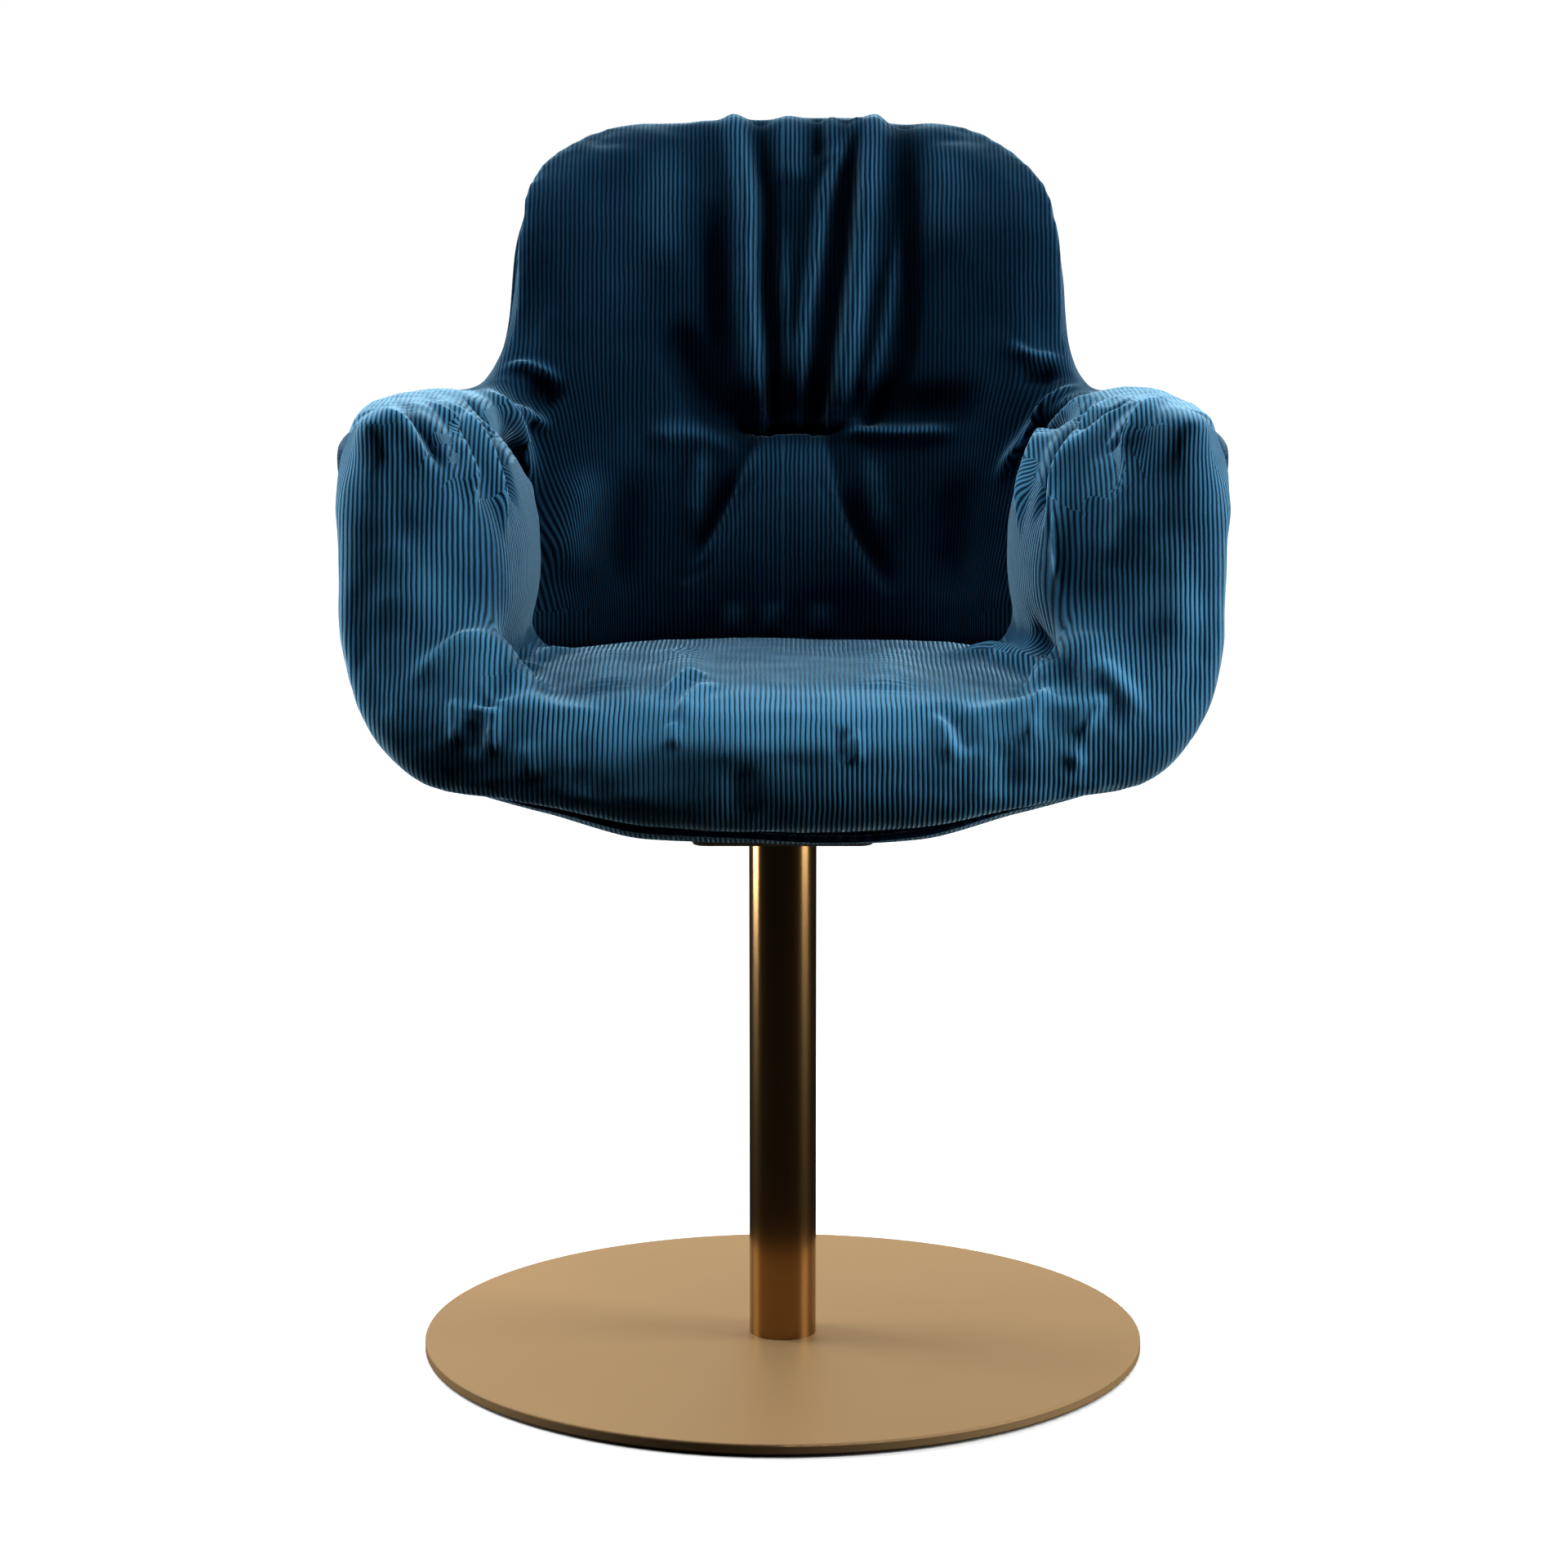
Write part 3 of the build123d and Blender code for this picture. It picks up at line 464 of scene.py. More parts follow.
seat_group = join(copy_node("seat_pad", "quilt"), edge_roll(), *arm_filling(), *copies(SHARED_NODES))
close_slots(seat_group)
back_filling = ball(*BACK_LUMP, BACK_LEAN)
back_group = join(copy_node("back_pad", "back_copy"), back_filling, edge_roll(), *copies(SHARED_NODES))
close_slots(back_group)
quilt = join(seat_group, back_group)
weld(quilt, FINE_VOXEL)
apply_modifier(quilt, "SMOOTH", factor=0.5, iterations=SKIN_SMOOTHING)
print("quilt:", len(quilt.data.polygons), "faces")

# %% [markdown]
# The solids of the arm pads come to a point at the front of the arm's top, where the real cover is round.
# Smoothing only the points there melts that nose. Then the quilt gets the same soft draw as the shell.

# %% Round the arms' noses
NOSE_SIDE, NOSE_Y, NOSE_Z = 0.185, -0.120, 0.628
NOSE_ROUNDING = 45


def round_off(piece, chosen, iterations):
    """Melts the chosen points of a piece into a round form."""
    group = piece.vertex_groups.new(name="round_off")
    group.add([int(number) for number in np.nonzero(chosen)[0]], 1.0, "REPLACE")
    apply_modifier(piece, "SMOOTH", factor=0.5, iterations=iterations, vertex_group="round_off")
    piece.vertex_groups.clear()


x, y, z = points_of(quilt).T
nose = (np.abs(x) > NOSE_SIDE) & (y < NOSE_Y) & (z > NOSE_Z)
round_off(quilt, nose, NOSE_ROUNDING)
set_points(quilt, draw_in(points_of(quilt)))
print("noses:", int(nose.sum()), "points rounded")

# %% [markdown]
# A stuffed cover is drawn tight where it is sewn down and swells in between. Cloth with pressure inside gives
# that. The side against the shell is held, and no point may move further than the cap. One subdivision then
# makes the squares fine enough for the folds.

# %% Fill the quilt
SWELL_CAP = 0.006
SWELL_PRESSURE = 4.0
SWELL_FRAMES = 20
SWELL_QUALITY = 4
SWELL_SMOOTHING = 3
HELD_WITHIN = 0.010
NO_LENGTH = 1e-9
MILLIMETRES = 1000


def inflate(piece, pressure, cap):
    """Lets the skin swell under pressure for some frames and keeps the result, up to the cap."""
    start = points_of(piece)
    walls = BVHTree.FromObject(shell, bpy.context.evaluated_depsgraph_get())
    held = piece.vertex_groups.new(name="held")
    near = [k for k, p in enumerate(start) if walls.find_nearest(Vector(p), HELD_WITHIN)[0] is not None]
    held.add(near, 1.0, "REPLACE")
    cloth = piece.modifiers.new("filling", "CLOTH")
    cloth.settings.use_pressure = True
    cloth.settings.uniform_pressure_force = pressure
    cloth.settings.effector_weights.gravity = 0
    cloth.settings.vertex_group_mass = "held"
    cloth.settings.quality = SWELL_QUALITY
    cloth.collision_settings.use_collision = False
    for moment in range(1, SWELL_FRAMES + 1):
        bpy.context.scene.frame_set(moment)
    swollen = piece.evaluated_get(bpy.context.evaluated_depsgraph_get())
    moved = points_of(swollen) - start
    piece.modifiers.remove(cloth)
    piece.vertex_groups.remove(held)
    bpy.context.scene.frame_set(1)
    length = np.linalg.norm(moved, axis=1, keepdims=True)
    set_points(piece, start + moved * np.minimum(1, cap / np.maximum(length, NO_LENGTH)))
    return float(length.mean())


pushed = inflate(quilt, SWELL_PRESSURE, SWELL_CAP)
apply_modifier(quilt, "SMOOTH", factor=0.5, iterations=SWELL_SMOOTHING)
print("pressure would move the skin by", round(pushed * MILLIMETRES, 1), "mm on average before the cap")
apply_modifier(quilt, "SUBSURF", levels=1, render_levels=1)
print("quilt:", len(quilt.data.polygons), "faces")

# %% [markdown]
# The real cover isn't even: the backrest is fuller on one side, its top corners and the shoulders are drawn
# down, and the seat sinks towards the back. These are soft moves that fade out with distance, each between
# the two ends of a pair. Slow noise then keeps every surface from looking turned on a lathe.

# %% Uneven filling
BACK_SHIFT = 0.005
SHIFT_UP, SHIFT_SIDE = (0.68, 0.76), (0.02, 0.17)
CORNER_DRAW = 0.009
CORNER_UP, CORNER_SIDE = (0.80, 0.86), (0.03, 0.18)
ARM_TOP_DRAW = 0.004
ARM_TOP_LOW, ARM_TOP_HIGH, ARM_TOP_SIDE = (0.62, 0.68), (0.72, 0.79), (0.16, 0.20)
SHOULDER_DRAW = 0.004
SHOULDER_FRONT, SHOULDER_REAR = (0.02, 0.12), (0.15, 0.22)
SEAT_SINK = 0.013
SINK_BACK, SINK_SIDE = (-0.06, 0.06), (0.13, 0.19)
SINK_LOW, SINK_HIGH = (0.46, 0.49), (0.515, 0.535)
LUMP_SIZE = 0.075
LUMP_HEIGHT = 0.0022
CRUMPLE_SIZE = 0.022
CRUMPLE_HEIGHT = 0.0006


def unevenness(points, size):
    """Slow noise between -1 and 1 whose lumps are about this size."""
    return np.array([noise.noise(Vector(p) / size) for p in points])


points = points_of(quilt)
x, y, z = points.T.copy()
points[:, 0] += BACK_SHIFT * fade(z, *SHIFT_UP) * fade(x, *SHIFT_SIDE)
points[:, 2] -= CORNER_DRAW * fade(z, *CORNER_UP) * fade(np.abs(x), *CORNER_SIDE)
arm_top = fade(z, *ARM_TOP_LOW) * (1 - fade(z, *ARM_TOP_HIGH)) * fade(np.abs(x), *ARM_TOP_SIDE)
shoulder = fade(y, *SHOULDER_FRONT) * (1 - fade(y, *SHOULDER_REAR))
points[:, 2] -= arm_top * (ARM_TOP_DRAW + SHOULDER_DRAW * shoulder)
behind = fade(y, *SINK_BACK) * (1 - fade(z, *SINK_HIGH)) * (1 - fade(np.abs(x), *SINK_SIDE))
points[:, 2] -= SEAT_SINK * behind * fade(z, *SINK_LOW)
rough = LUMP_HEIGHT * unevenness(points, LUMP_SIZE) + CRUMPLE_HEIGHT * unevenness(points, CRUMPLE_SIZE)
set_points(quilt, points + normals_of(quilt) * rough[:, None])
flow = normals_of(quilt)
print("uneven by up to", round(float(np.abs(rough).max()) * MILLIMETRES, 1), "mm")

# %% [markdown]
# Folds are what makes the cover look sewn and sat on. Each one is a line drawn over the photograph in its own
# pixels, with a width and a height in millimetres: above zero for a crest, below zero for a crease. The lines
# are grouped by where they lie. A fold fades out at its ends, unless it runs into the slit or over the top
# edge, and its last word says which ends fade.

# %% Lines of the folds
Fold = namedtuple("Fold", "pixels width height fades", defaults=("both",))
TUFT_FOLDS = (
    Fold([(880, 508), (970, 503), (1060, 508)], 24, -14),
    Fold([(885, 522), (970, 523), (1055, 522)], 3.5, -12),
    Fold([(935, 534), (916, 584), (888, 639), (860, 692), (826, 712)], 4.5, 5, "end"),
    Fold([(912, 570), (880, 630), (845, 690)], 9, -4),
    Fold([(1005, 534), (1013, 594), (1038, 659), (1072, 709), (1102, 759)], 4.5, 5, "end"),
    Fold([(1022, 590), (1055, 660), (1105, 730)], 9, -4),
    Fold([(862, 535), (852, 600), (842, 660)], 8, 4),
    Fold([(1060, 545), (1075, 610), (1092, 670)], 8, 4),
    Fold([(1045, 526), (1105, 530), (1185, 527)], 6, 6, "end"),
    Fold([(1060, 500), (1140, 496), (1215, 500)], 14, -7, "end"),
    Fold([(900, 520), (875, 500), (850, 460), (815, 380)], 15, -8, "end"),
    Fold([(890, 540), (840, 530), (780, 535)], 9, 4, "end"),
)
BACK_FOLDS = (
    Fold(
        [(928, 512), (926, 461), (916, 393), (912, 325), (916, 266), (911, 217), (902, 169), (897, 140)],
        9,
        7,
        "none",
    ),
    Fold([(950, 512), (946, 413), (938, 315), (938, 242), (931, 149)], 7, -5, "none"),
    Fold([(963, 518), (965, 413), (960, 339), (960, 270)], 4, 4, "end"),
    Fold([(966, 235), (968, 180), (965, 138)], 10, 4, "start"),
    Fold(
        [(975, 516), (980, 437), (987, 374), (999, 315), (1004, 266), (1014, 222), (1033, 183), (1047, 148)],
        5,
        6,
        "none",
    ),
    Fold([(1000, 200), (1003, 165), (1001, 140)], 5, -4, "start"),
    Fold([(1018, 210), (1020, 170), (1018, 138)], 6, 3, "start"),
    Fold([(999, 510), (1014, 413), (1028, 315), (1034, 250), (1043, 150)], 7, -5, "none"),
    Fold(
        [(1024, 515), (1034, 461), (1048, 364), (1058, 291), (1063, 242), (1068, 169), (1073, 137)],
        9,
        7,
        "none",
    ),
    Fold([(1048, 515), (1072, 452), (1087, 393), (1097, 315), (1107, 242)], 4.5, 4, "end"),
    Fold([(1063, 505), (1102, 461), (1116, 364), (1112, 250), (1107, 148)], 11, -6, "none"),
    Fold([(890, 500), (880, 420), (876, 330), (870, 230)], 11, -5),
    Fold([(1150, 330), (1160, 250), (1150, 165)], 16, 3),
    Fold([(800, 350), (805, 250), (825, 165)], 18, 3),
    Fold([(730, 560), (700, 640), (690, 720)], 16, 4),
    Fold([(780, 560), (765, 640), (760, 740)], 14, -4),
    Fold([(1180, 560), (1170, 650), (1165, 740)], 16, -4),
    Fold([(900, 735), (898, 785)], 8, 3),
    Fold([(945, 735), (946, 785)], 8, 3),
    Fold([(1005, 735), (1006, 785)], 8, 3),
)
SHOULDER_FOLDS = (
    Fold([(612, 453), (638, 446), (668, 452), (689, 473)], 4, 5),
    Fold([(640, 470), (665, 478), (685, 500)], 9, -5),
    Fold([(612, 494), (648, 510), (680, 526)], 4.5, 5),
    Fold([(1233, 413), (1248, 432), (1277, 440), (1304, 437)], 4, 5),
    Fold([(1240, 455), (1275, 462), (1300, 458)], 8, -4),
    Fold([(1218, 604), (1226, 570), (1250, 545), (1270, 510), (1293, 485), (1318, 468), (1350, 468)], 4.5, 6),
)
ARM_FOLDS = (
    Fold([(584, 468), (605, 481), (632, 522), (646, 566), (650, 610)], 7, 6),
    Fold([(513, 482), (537, 498), (554, 529), (567, 563), (577, 600), (577, 640)], 5.5, 6),
    Fold([(522, 480), (548, 508), (565, 543), (574, 580)], 4.5, -6),
    Fold([(533, 480), (564, 508), (588, 543), (601, 584), (612, 621), (622, 665)], 5.5, 6),
    Fold([(560, 476), (590, 505), (612, 545), (626, 590), (634, 630)], 6, -6),
    Fold([(455, 490), (478, 503), (499, 532), (516, 565), (533, 592)], 7, 4),
    Fold([(484, 484), (508, 504), (530, 540), (548, 585)], 6, -4),
    Fold([(1272, 543), (1282, 519), (1306, 495), (1334, 478)], 5, -6),
    Fold([(1245, 669), (1253, 621), (1265, 577), (1279, 536), (1303, 505), (1334, 481), (1361, 473)], 6, 6),
    Fold([(1262, 650), (1280, 600), (1292, 560), (1310, 520), (1345, 486)], 5, -5),
    Fold([(1272, 669), (1293, 621), (1306, 584), (1327, 526), (1351, 495), (1385, 478)], 5, 6),
    Fold([(1311, 549), (1330, 529), (1354, 505), (1385, 486)], 4.5, -6),
    Fold([(1296, 737), (1299, 669), (1306, 601), (1317, 567), (1340, 536), (1371, 505), (1412, 481)], 6, 6),
    Fold([(1352, 560), (1372, 528), (1395, 500)], 5, -4),
    Fold([(1371, 575), (1385, 539), (1398, 508), (1419, 485), (1440, 478)], 5.5, 5),
    Fold([(1430, 640), (1440, 740), (1435, 800)], 20, 3),
    Fold([(500, 640), (505, 720), (500, 780)], 22, 3),
)
CORNER_FOLDS = (
    Fold([(586, 862), (608, 846), (632, 816), (662, 793)], 8, -5),
    Fold([(570, 863), (590, 861), (610, 854)], 9, -5),
    Fold([(496, 843), (537, 809), (571, 781), (605, 771)], 9, 5),
    Fold([(606, 850), (639, 818), (666, 800), (690, 797), (716, 800)], 9, 4),
    Fold([(557, 866), (560, 915)], 4, 4, "end"),
    Fold([(605, 874), (600, 926)], 4, 5, "end"),
    Fold([(580, 880), (580, 930)], 6, -4),
    Fold([(566, 871), (590, 864), (609, 878)], 4, 4),
    Fold([(1269, 740), (1270, 785), (1296, 810), (1317, 838), (1344, 853)], 8, -5),
    Fold([(1327, 799), (1351, 822), (1381, 857), (1402, 884)], 9, 5),
    Fold([(1364, 857), (1340, 860), (1327, 891), (1321, 908)], 5, 5),
    Fold([(1311, 915), (1322, 945)], 5, 3),
    Fold([(1160, 806), (1210, 800), (1262, 810), (1305, 838)], 13, 7),
    Fold([(1256, 918), (1266, 863), (1291, 838)], 6, 5),
)
SEAT_FOLDS = (
    Fold([(740, 802), (744, 850)], 18, 2, "end"),
    Fold([(838, 800), (842, 850)], 16, 2.5, "end"),
    Fold([(1088, 803), (1089, 850)], 18, 2, "end"),
    Fold([(809, 858), (839, 833), (868, 828)], 5, 4),
    Fold([(829, 890), (844, 853), (878, 836)], 5, 4),
    Fold([(825, 880), (822, 920)], 5, 3),
    Fold([(1030, 885), (1035, 940)], 5, -4),
    Fold([(1045, 890), (1048, 940)], 5, 3),
    Fold([(1157, 858), (1182, 893), (1192, 930)], 7, -5),
    Fold([(1140, 870), (1160, 905), (1168, 940)], 6, 4),
    Fold([(715, 890), (712, 985)], 9, -2.5),
    Fold([(905, 930), (908, 1010)], 9, -2.5),
    Fold([(640, 905), (650, 960)], 9, 3),
    Fold([(1230, 900), (1238, 985)], 9, -2.5),
)
LOOSE_FOLDS = (TUFT_FOLDS, BACK_FOLDS, SHOULDER_FOLDS, CORNER_FOLDS, SEAT_FOLDS)
print("folds:", sum(len(folds) for folds in LOOSE_FOLDS) + len(ARM_FOLDS), "lines")

# %% [markdown]
# Each line is cast on the quilt along the camera's rays, and every point near it moves along its own normal,
# up or down. The move is strongest on the line and dies away over the fold's width. The gathers on the arms
# get more force than the rest, because they looked too shallow with the same one.

# %% Press the folds
LINE_STEP = 3.0
LINE_SMOOTHING = 9
FEWEST_POINTS = 6
FADE_SHARE = 0.35
FOLD_FORCE = 1.45
ARM_FOLD_FORCE = 1.8
FOLD_REACH = 3
SAME_SIDE = 0.1
TOP_EASE, TOP_EASE_FROM = 0.40, 0.7
EYE = Vector((0, CAMERA_Y, CAMERA_Z))


def evenly(corners, step):
    """Points along a broken line, about one step apart."""
    corners = np.array(corners, float)
    lengths = np.linalg.norm(np.diff(corners, axis=0), axis=1)
    along = np.concatenate([[0], np.cumsum(lengths)])
    places = np.linspace(0, along[-1], max(FEWEST_POINTS, int(along[-1] / step)))
    return np.stack([np.interp(places, along, corners[:, k]) for k in range(corners.shape[1])], axis=1)


def rounded(line, reach):
    """The same line with its corners rounded by a running mean, and its ends where they were."""
    reach = min(reach, len(line) // 4)
    padded = np.pad(line, ((reach, reach), (0, 0)), mode="reflect", reflect_type="odd")
    kernel = np.ones(2 * reach + 1) / (2 * reach + 1)
    return np.stack([np.convolve(padded[:, k], kernel, "valid") for k in range(line.shape[1])], axis=1)


def cast_line(tree, corners):
    """Where a drawn line falls on the skin, and the skin's normals there."""
    pixels = rounded(evenly(corners, LINE_STEP), LINE_SMOOTHING)
    hits = [tree.ray_cast(EYE, photo_ray(pixel)) for pixel in pixels]
    hits = [hit for hit in hits if hit[0] is not None]
    return np.array([tuple(hit[0]) for hit in hits]), np.array([tuple(hit[1]) for hit in hits])


def end_fade(share, fades):
    """How much of a fold is left along it, from 0 to 1. One that runs on over the top edge only eases."""
    first = fade(share, 0, FADE_SHARE) if fades in ("both", "start") else 1
    eased = 1 - TOP_EASE * fade(share, TOP_EASE_FROM, 1)
    last = fade(1 - share, 0, FADE_SHARE) if fades in ("both", "end") else eased
    return first * last


def press_folds(piece, folds, force):
    """Moves the skin up or down along every fold, with this force, and returns how far."""
    points, normals = points_of(piece), normals_of(piece)
    tree = BVHTree.FromObject(piece, bpy.context.evaluated_depsgraph_get())
    rise = np.zeros(len(points))
    for one in folds:
        line, facing = cast_line(tree, one.pixels)
        width = one.width / MILLIMETRES
        reach = FOLD_REACH * width
        near = np.all((points > line.min(0) - reach) & (points < line.max(0) + reach), axis=1)
        index = np.nonzero(near)[0]
        gap = np.sum((points[index, None, :] - line[None, :, :]) ** 2, axis=2)
        place = gap.argmin(axis=1)
        strength = np.exp(-gap[np.arange(len(index)), place] / width**2)
        strength *= end_fade(place / (len(line) - 1), one.fades)
        strength *= np.sum(normals[index] * facing[place], axis=1) > SAME_SIDE
        rise[index] += strength * force * one.height / MILLIMETRES
    set_points(piece, points + normals * rise[:, None])
    return rise


fold_rise = np.zeros(len(quilt.data.vertices))
for folds in LOOSE_FOLDS:
    fold_rise += press_folds(quilt, folds, FOLD_FORCE)
fold_rise += press_folds(quilt, ARM_FOLDS, ARM_FOLD_FORCE)
print("crests up to", round(float(fold_rise.max()) * MILLIMETRES, 1), "mm high")

# %% [markdown]
# Below the slit the cloth stands forward in a tab that widens downwards. Its outline is drawn over the
# photograph too: each point of the backrest is projected into the picture, and the ones inside the outline
# rise. The rise grows over a few pixels from the edge, and fades out towards the seat.

# %% Tab under the slit
TAB_OUTLINE = (
    (937, 526), (1004, 526), (1013, 592), (1037, 655), (1073, 710), (1104, 765), (1100, 815),
    (815, 815), (829, 712), (860, 692), (888, 639), (917, 584),
)
TAB_HEIGHT = 0.006
TAB_EDGE = 11.0
TAB_FADE = (640, 800)
TAB_FACING, TAB_BEHIND, TAB_ABOVE = -0.4, 0.05, 0.5
TAB_SMOOTHING = 2


def photo_pixels(points):
    """Where points of the model fall in the photograph."""
    x, y, z = (points - np.array(EYE)).T
    depth = y * math.cos(CAMERA_TILT) - z * math.sin(CAMERA_TILT)
    up = y * math.sin(CAMERA_TILT) + z * math.cos(CAMERA_TILT)
    across = AXIS_PIXEL + FOCAL_PIXELS * x / depth
    down = PHOTO_PIXELS / 2 - FOCAL_PIXELS * up / depth
    return np.stack([across, down], axis=1)


def depth_inside(pixels, outline):
    """How far pixels lie inside a closed outline, below zero outside it."""
    corners = np.array(outline, float)
    inside = np.zeros(len(pixels), bool)
    nearest = np.full(len(pixels), np.inf)
    for a, b in zip(corners, np.roll(corners, -1, axis=0)):
        along = np.clip(((pixels - a) @ (b - a)) / ((b - a) @ (b - a)), 0, 1)
        nearest = np.minimum(nearest, np.linalg.norm(pixels - a - along[:, None] * (b - a), axis=1))
        if a[1] != b[1]:
            crossing = a[0] + (pixels[:, 1] - a[1]) * (b[0] - a[0]) / (b[1] - a[1])
            inside ^= ((a[1] > pixels[:, 1]) != (b[1] > pixels[:, 1])) & (pixels[:, 0] < crossing)
    return np.where(inside, nearest, -nearest)


points, normals = points_of(quilt), normals_of(quilt)
pixels = photo_pixels(points)
on_back = (normals[:, 1] < TAB_FACING) & (points[:, 1] > TAB_BEHIND) & (points[:, 2] > TAB_ABOVE)
inside = fade(depth_inside(pixels, TAB_OUTLINE), 0, TAB_EDGE)
tab_rise = TAB_HEIGHT * (inside * (1 - fade(pixels[:, 1], *TAB_FADE))) * on_back
set_points(quilt, points + normals * tab_rise[:, None])
fold_rise += tab_rise
apply_modifier(quilt, "SMOOTH", factor=0.4, iterations=TAB_SMOOTHING)
print("tab:", int((tab_rise > 0).sum()), "points raised")

# %% [markdown]
# The wales of corduroy run up the backrest and the arms, and from front to back on the seat and the arm
# tops. A flat projection would smear them where the surface turns, so every point stores how far along the
# wall it lies: a guide line runs in plan along the outside of the arm, across its front, back along its
# inside and across the backrest, and a point takes its place from the nearest stretch. Where the cloth lies
# flat, its wales are counted along the X axis.

# %% Wale attributes
QUILT_GUIDE = (
    (0.270, 0.140), (0.300, 0.050), (0.304, -0.150), (0.285, -0.192), (0.238, -0.192), (0.224, -0.170),
    (0.216, -0.100), (0.208, 0.000), (0.197, 0.080), (0.180, 0.135), (0.145, 0.158), (0.000, 0.160),
    (-0.100, 0.160),
)
GUIDE_CORNER, GUIDE_MIDDLE = (0.250, -0.192, 0.0), (0.0, 0.160, 0.0)
SHELL_GUIDE = (
    (0.290, -0.190), (0.302, -0.120), (0.300, 0.000), (0.280, 0.100), (0.235, 0.180), (0.150, 0.232),
    (0.000, 0.245), (-0.100, 0.241),
)
GUIDE_STEP = 0.004
GUIDE_ROUNDING = 4
GUIDE_SOFTNESS = 0.008
POINTS_AT_ONCE = 20000
SEAT_TOP_Z = 0.525
SEAT_HALF_WIDTH = 0.200
SEAT_BACK_Y = 0.112
ARM_TOP_Z = 0.60
FACES_UP = 0.5
SHELL_UNDERSIDE = -0.72
FRONT_LOW, FRONT_NEAR, FRONT_FULL = (0.48, 0.57), (0.08, 0.14), (0.12, 0.18)
UPPER_UP, UPPER_BACK = (0.66, 0.72), (0.08, 0.14)
OUTWARD = (0.75, 0.95)
BACK_PLACES = ROLL_PLACES[-7:]
ROLL_HEIGHTS = [place.z for place in BACK_PLACES]
ROLL_FRONTS = [place.y - place.radius for place in BACK_PLACES]


def along_guide(points, guide):
    """How far along a guide each point lies in plan, blended softly where two stretches are about as near."""
    line = rounded(evenly(guide, GUIDE_STEP), GUIDE_ROUNDING)
    reach = np.concatenate([[0], np.cumsum(np.linalg.norm(np.diff(line, axis=0), axis=1))])
    plan = np.stack([np.abs(points[:, 0]), points[:, 1]], axis=1)
    places = []
    for start in range(0, len(plan), POINTS_AT_ONCE):
        part = plan[start : start + POINTS_AT_ONCE]
        weight = (((part[:, None, :] - line[None, :, :]) ** 2).sum(axis=2) + GUIDE_SOFTNESS**2) ** -3
        places.append((weight * reach).sum(axis=1) / weight.sum(axis=1))
    return np.concatenate(places)


def store(piece, name, values):
    """Keeps one number for each point of a piece, for its material to read."""
    layer = piece.data.attributes.new(name, "FLOAT", "POINT")
    layer.data.foreach_set("value", np.asarray(values, dtype=np.float32))


def quilt_wales(points, facing):
    """The wale of every point of the quilt: along the walls, and by X on the front and the upper backrest."""
    side, y, z = np.abs(points[:, 0]), points[:, 1], points[:, 2]
    wall = along_guide(points, QUILT_GUIDE)
    corner, middle = along_guide(np.array([GUIDE_CORNER, GUIDE_MIDDLE]), QUILT_GUIDE)
    start = corner + GUIDE_CORNER[0]
    wall = start - wall
    front = np.maximum((1 - fade(z, *FRONT_LOW)) * fade(-y, *FRONT_NEAR), fade(-y, *FRONT_FULL))
    upper = fade(z, *UPPER_UP) * fade(y, *UPPER_BACK)
    outward = facing[:, 0] * np.sign(points[:, 0])
    behind = fade(outward, *OUTWARD) * np.maximum(0, y - np.interp(z, ROLL_HEIGHTS, ROLL_FRONTS))
    wall += front * (side - wall)
    return wall + upper * (start - middle + side + behind - wall)


def lies_flat(points, facing):
    """1 on the seat and on the arm tops, 0 elsewhere."""
    side, y, z = np.abs(points[:, 0]), points[:, 1], points[:, 2]
    seat = (z < SEAT_TOP_Z) & (side < SEAT_HALF_WIDTH) & (y < SEAT_BACK_Y)
    arm_top = (z > ARM_TOP_Z) & (facing[:, 2] > FACES_UP) & (y < SEAT_BACK_Y)
    return seat | arm_top


quilt_points, shell_points = points_of(quilt), points_of(shell)
store(quilt, "wale", quilt_wales(quilt_points, flow))
store(quilt, "lies_flat", lies_flat(quilt_points, flow))
store(shell, "wale", along_guide(shell_points, SHELL_GUIDE))
store(shell, "lies_flat", normals_of(shell)[:, 2] < SHELL_UNDERSIDE)
print("wales stored on", len(quilt_points), "and", len(shell_points), "points")

# %% [markdown]
# The pile leans one way, so panels cut in different directions look lighter or darker, and light and shade
# are
# painted over that: the arms and the seat's front are painted light, the backrest, the lower corners and the
# shell painted dark. Crests are painted lighter and creases darker, as painted light and shade on the folds.
# All of this is one number for each point, about 0.4 for dark cloth and 1 or more for light cloth, and it
# also sets how much sheen the cloth has.

# %% Painted light and shade, with the nap of the pile
# Painted light and shade by panel: the backrest, the lower corners and the shell painted dark, the arms and
# the fronts painted light, the seat between.
BACK_NAP_AND_SHADE, SEAT_NAP_AND_LIGHT, ARM_NAP_AND_LIGHT, CORNER_NAP_AND_SHADE, SHELL_NAP_AND_SHADE = 0.41, 0.70, 0.88, 0.60, 0.36
FRONT_NAP_AND_LIGHT = 1.50
NAP_SHADING_BACK, NAP_SHADING_ARM = (0.06, 0.13), (0.17, 0.22)
NAP_SHADING_FRONT, NAP_SHADING_FRONT_UP = (0.19, 0.25), (0.41, 0.45)
NAP_SHADING_CORNER_UP, NAP_SHADING_CORNER_SIDE, NAP_SHADING_CORNER_FRONT = (0.44, 0.54), (0.17, 0.25), (0.10, 0.16)
# Crests painted lighter and creases painted darker by how far a fold rose or sank: painted light and shade.
FOLD_LIGHT_AND_SHADE = 55.0
CREASE_SHADE_LIMIT, CREST_LIGHT_LIMIT = -0.28, 0.40


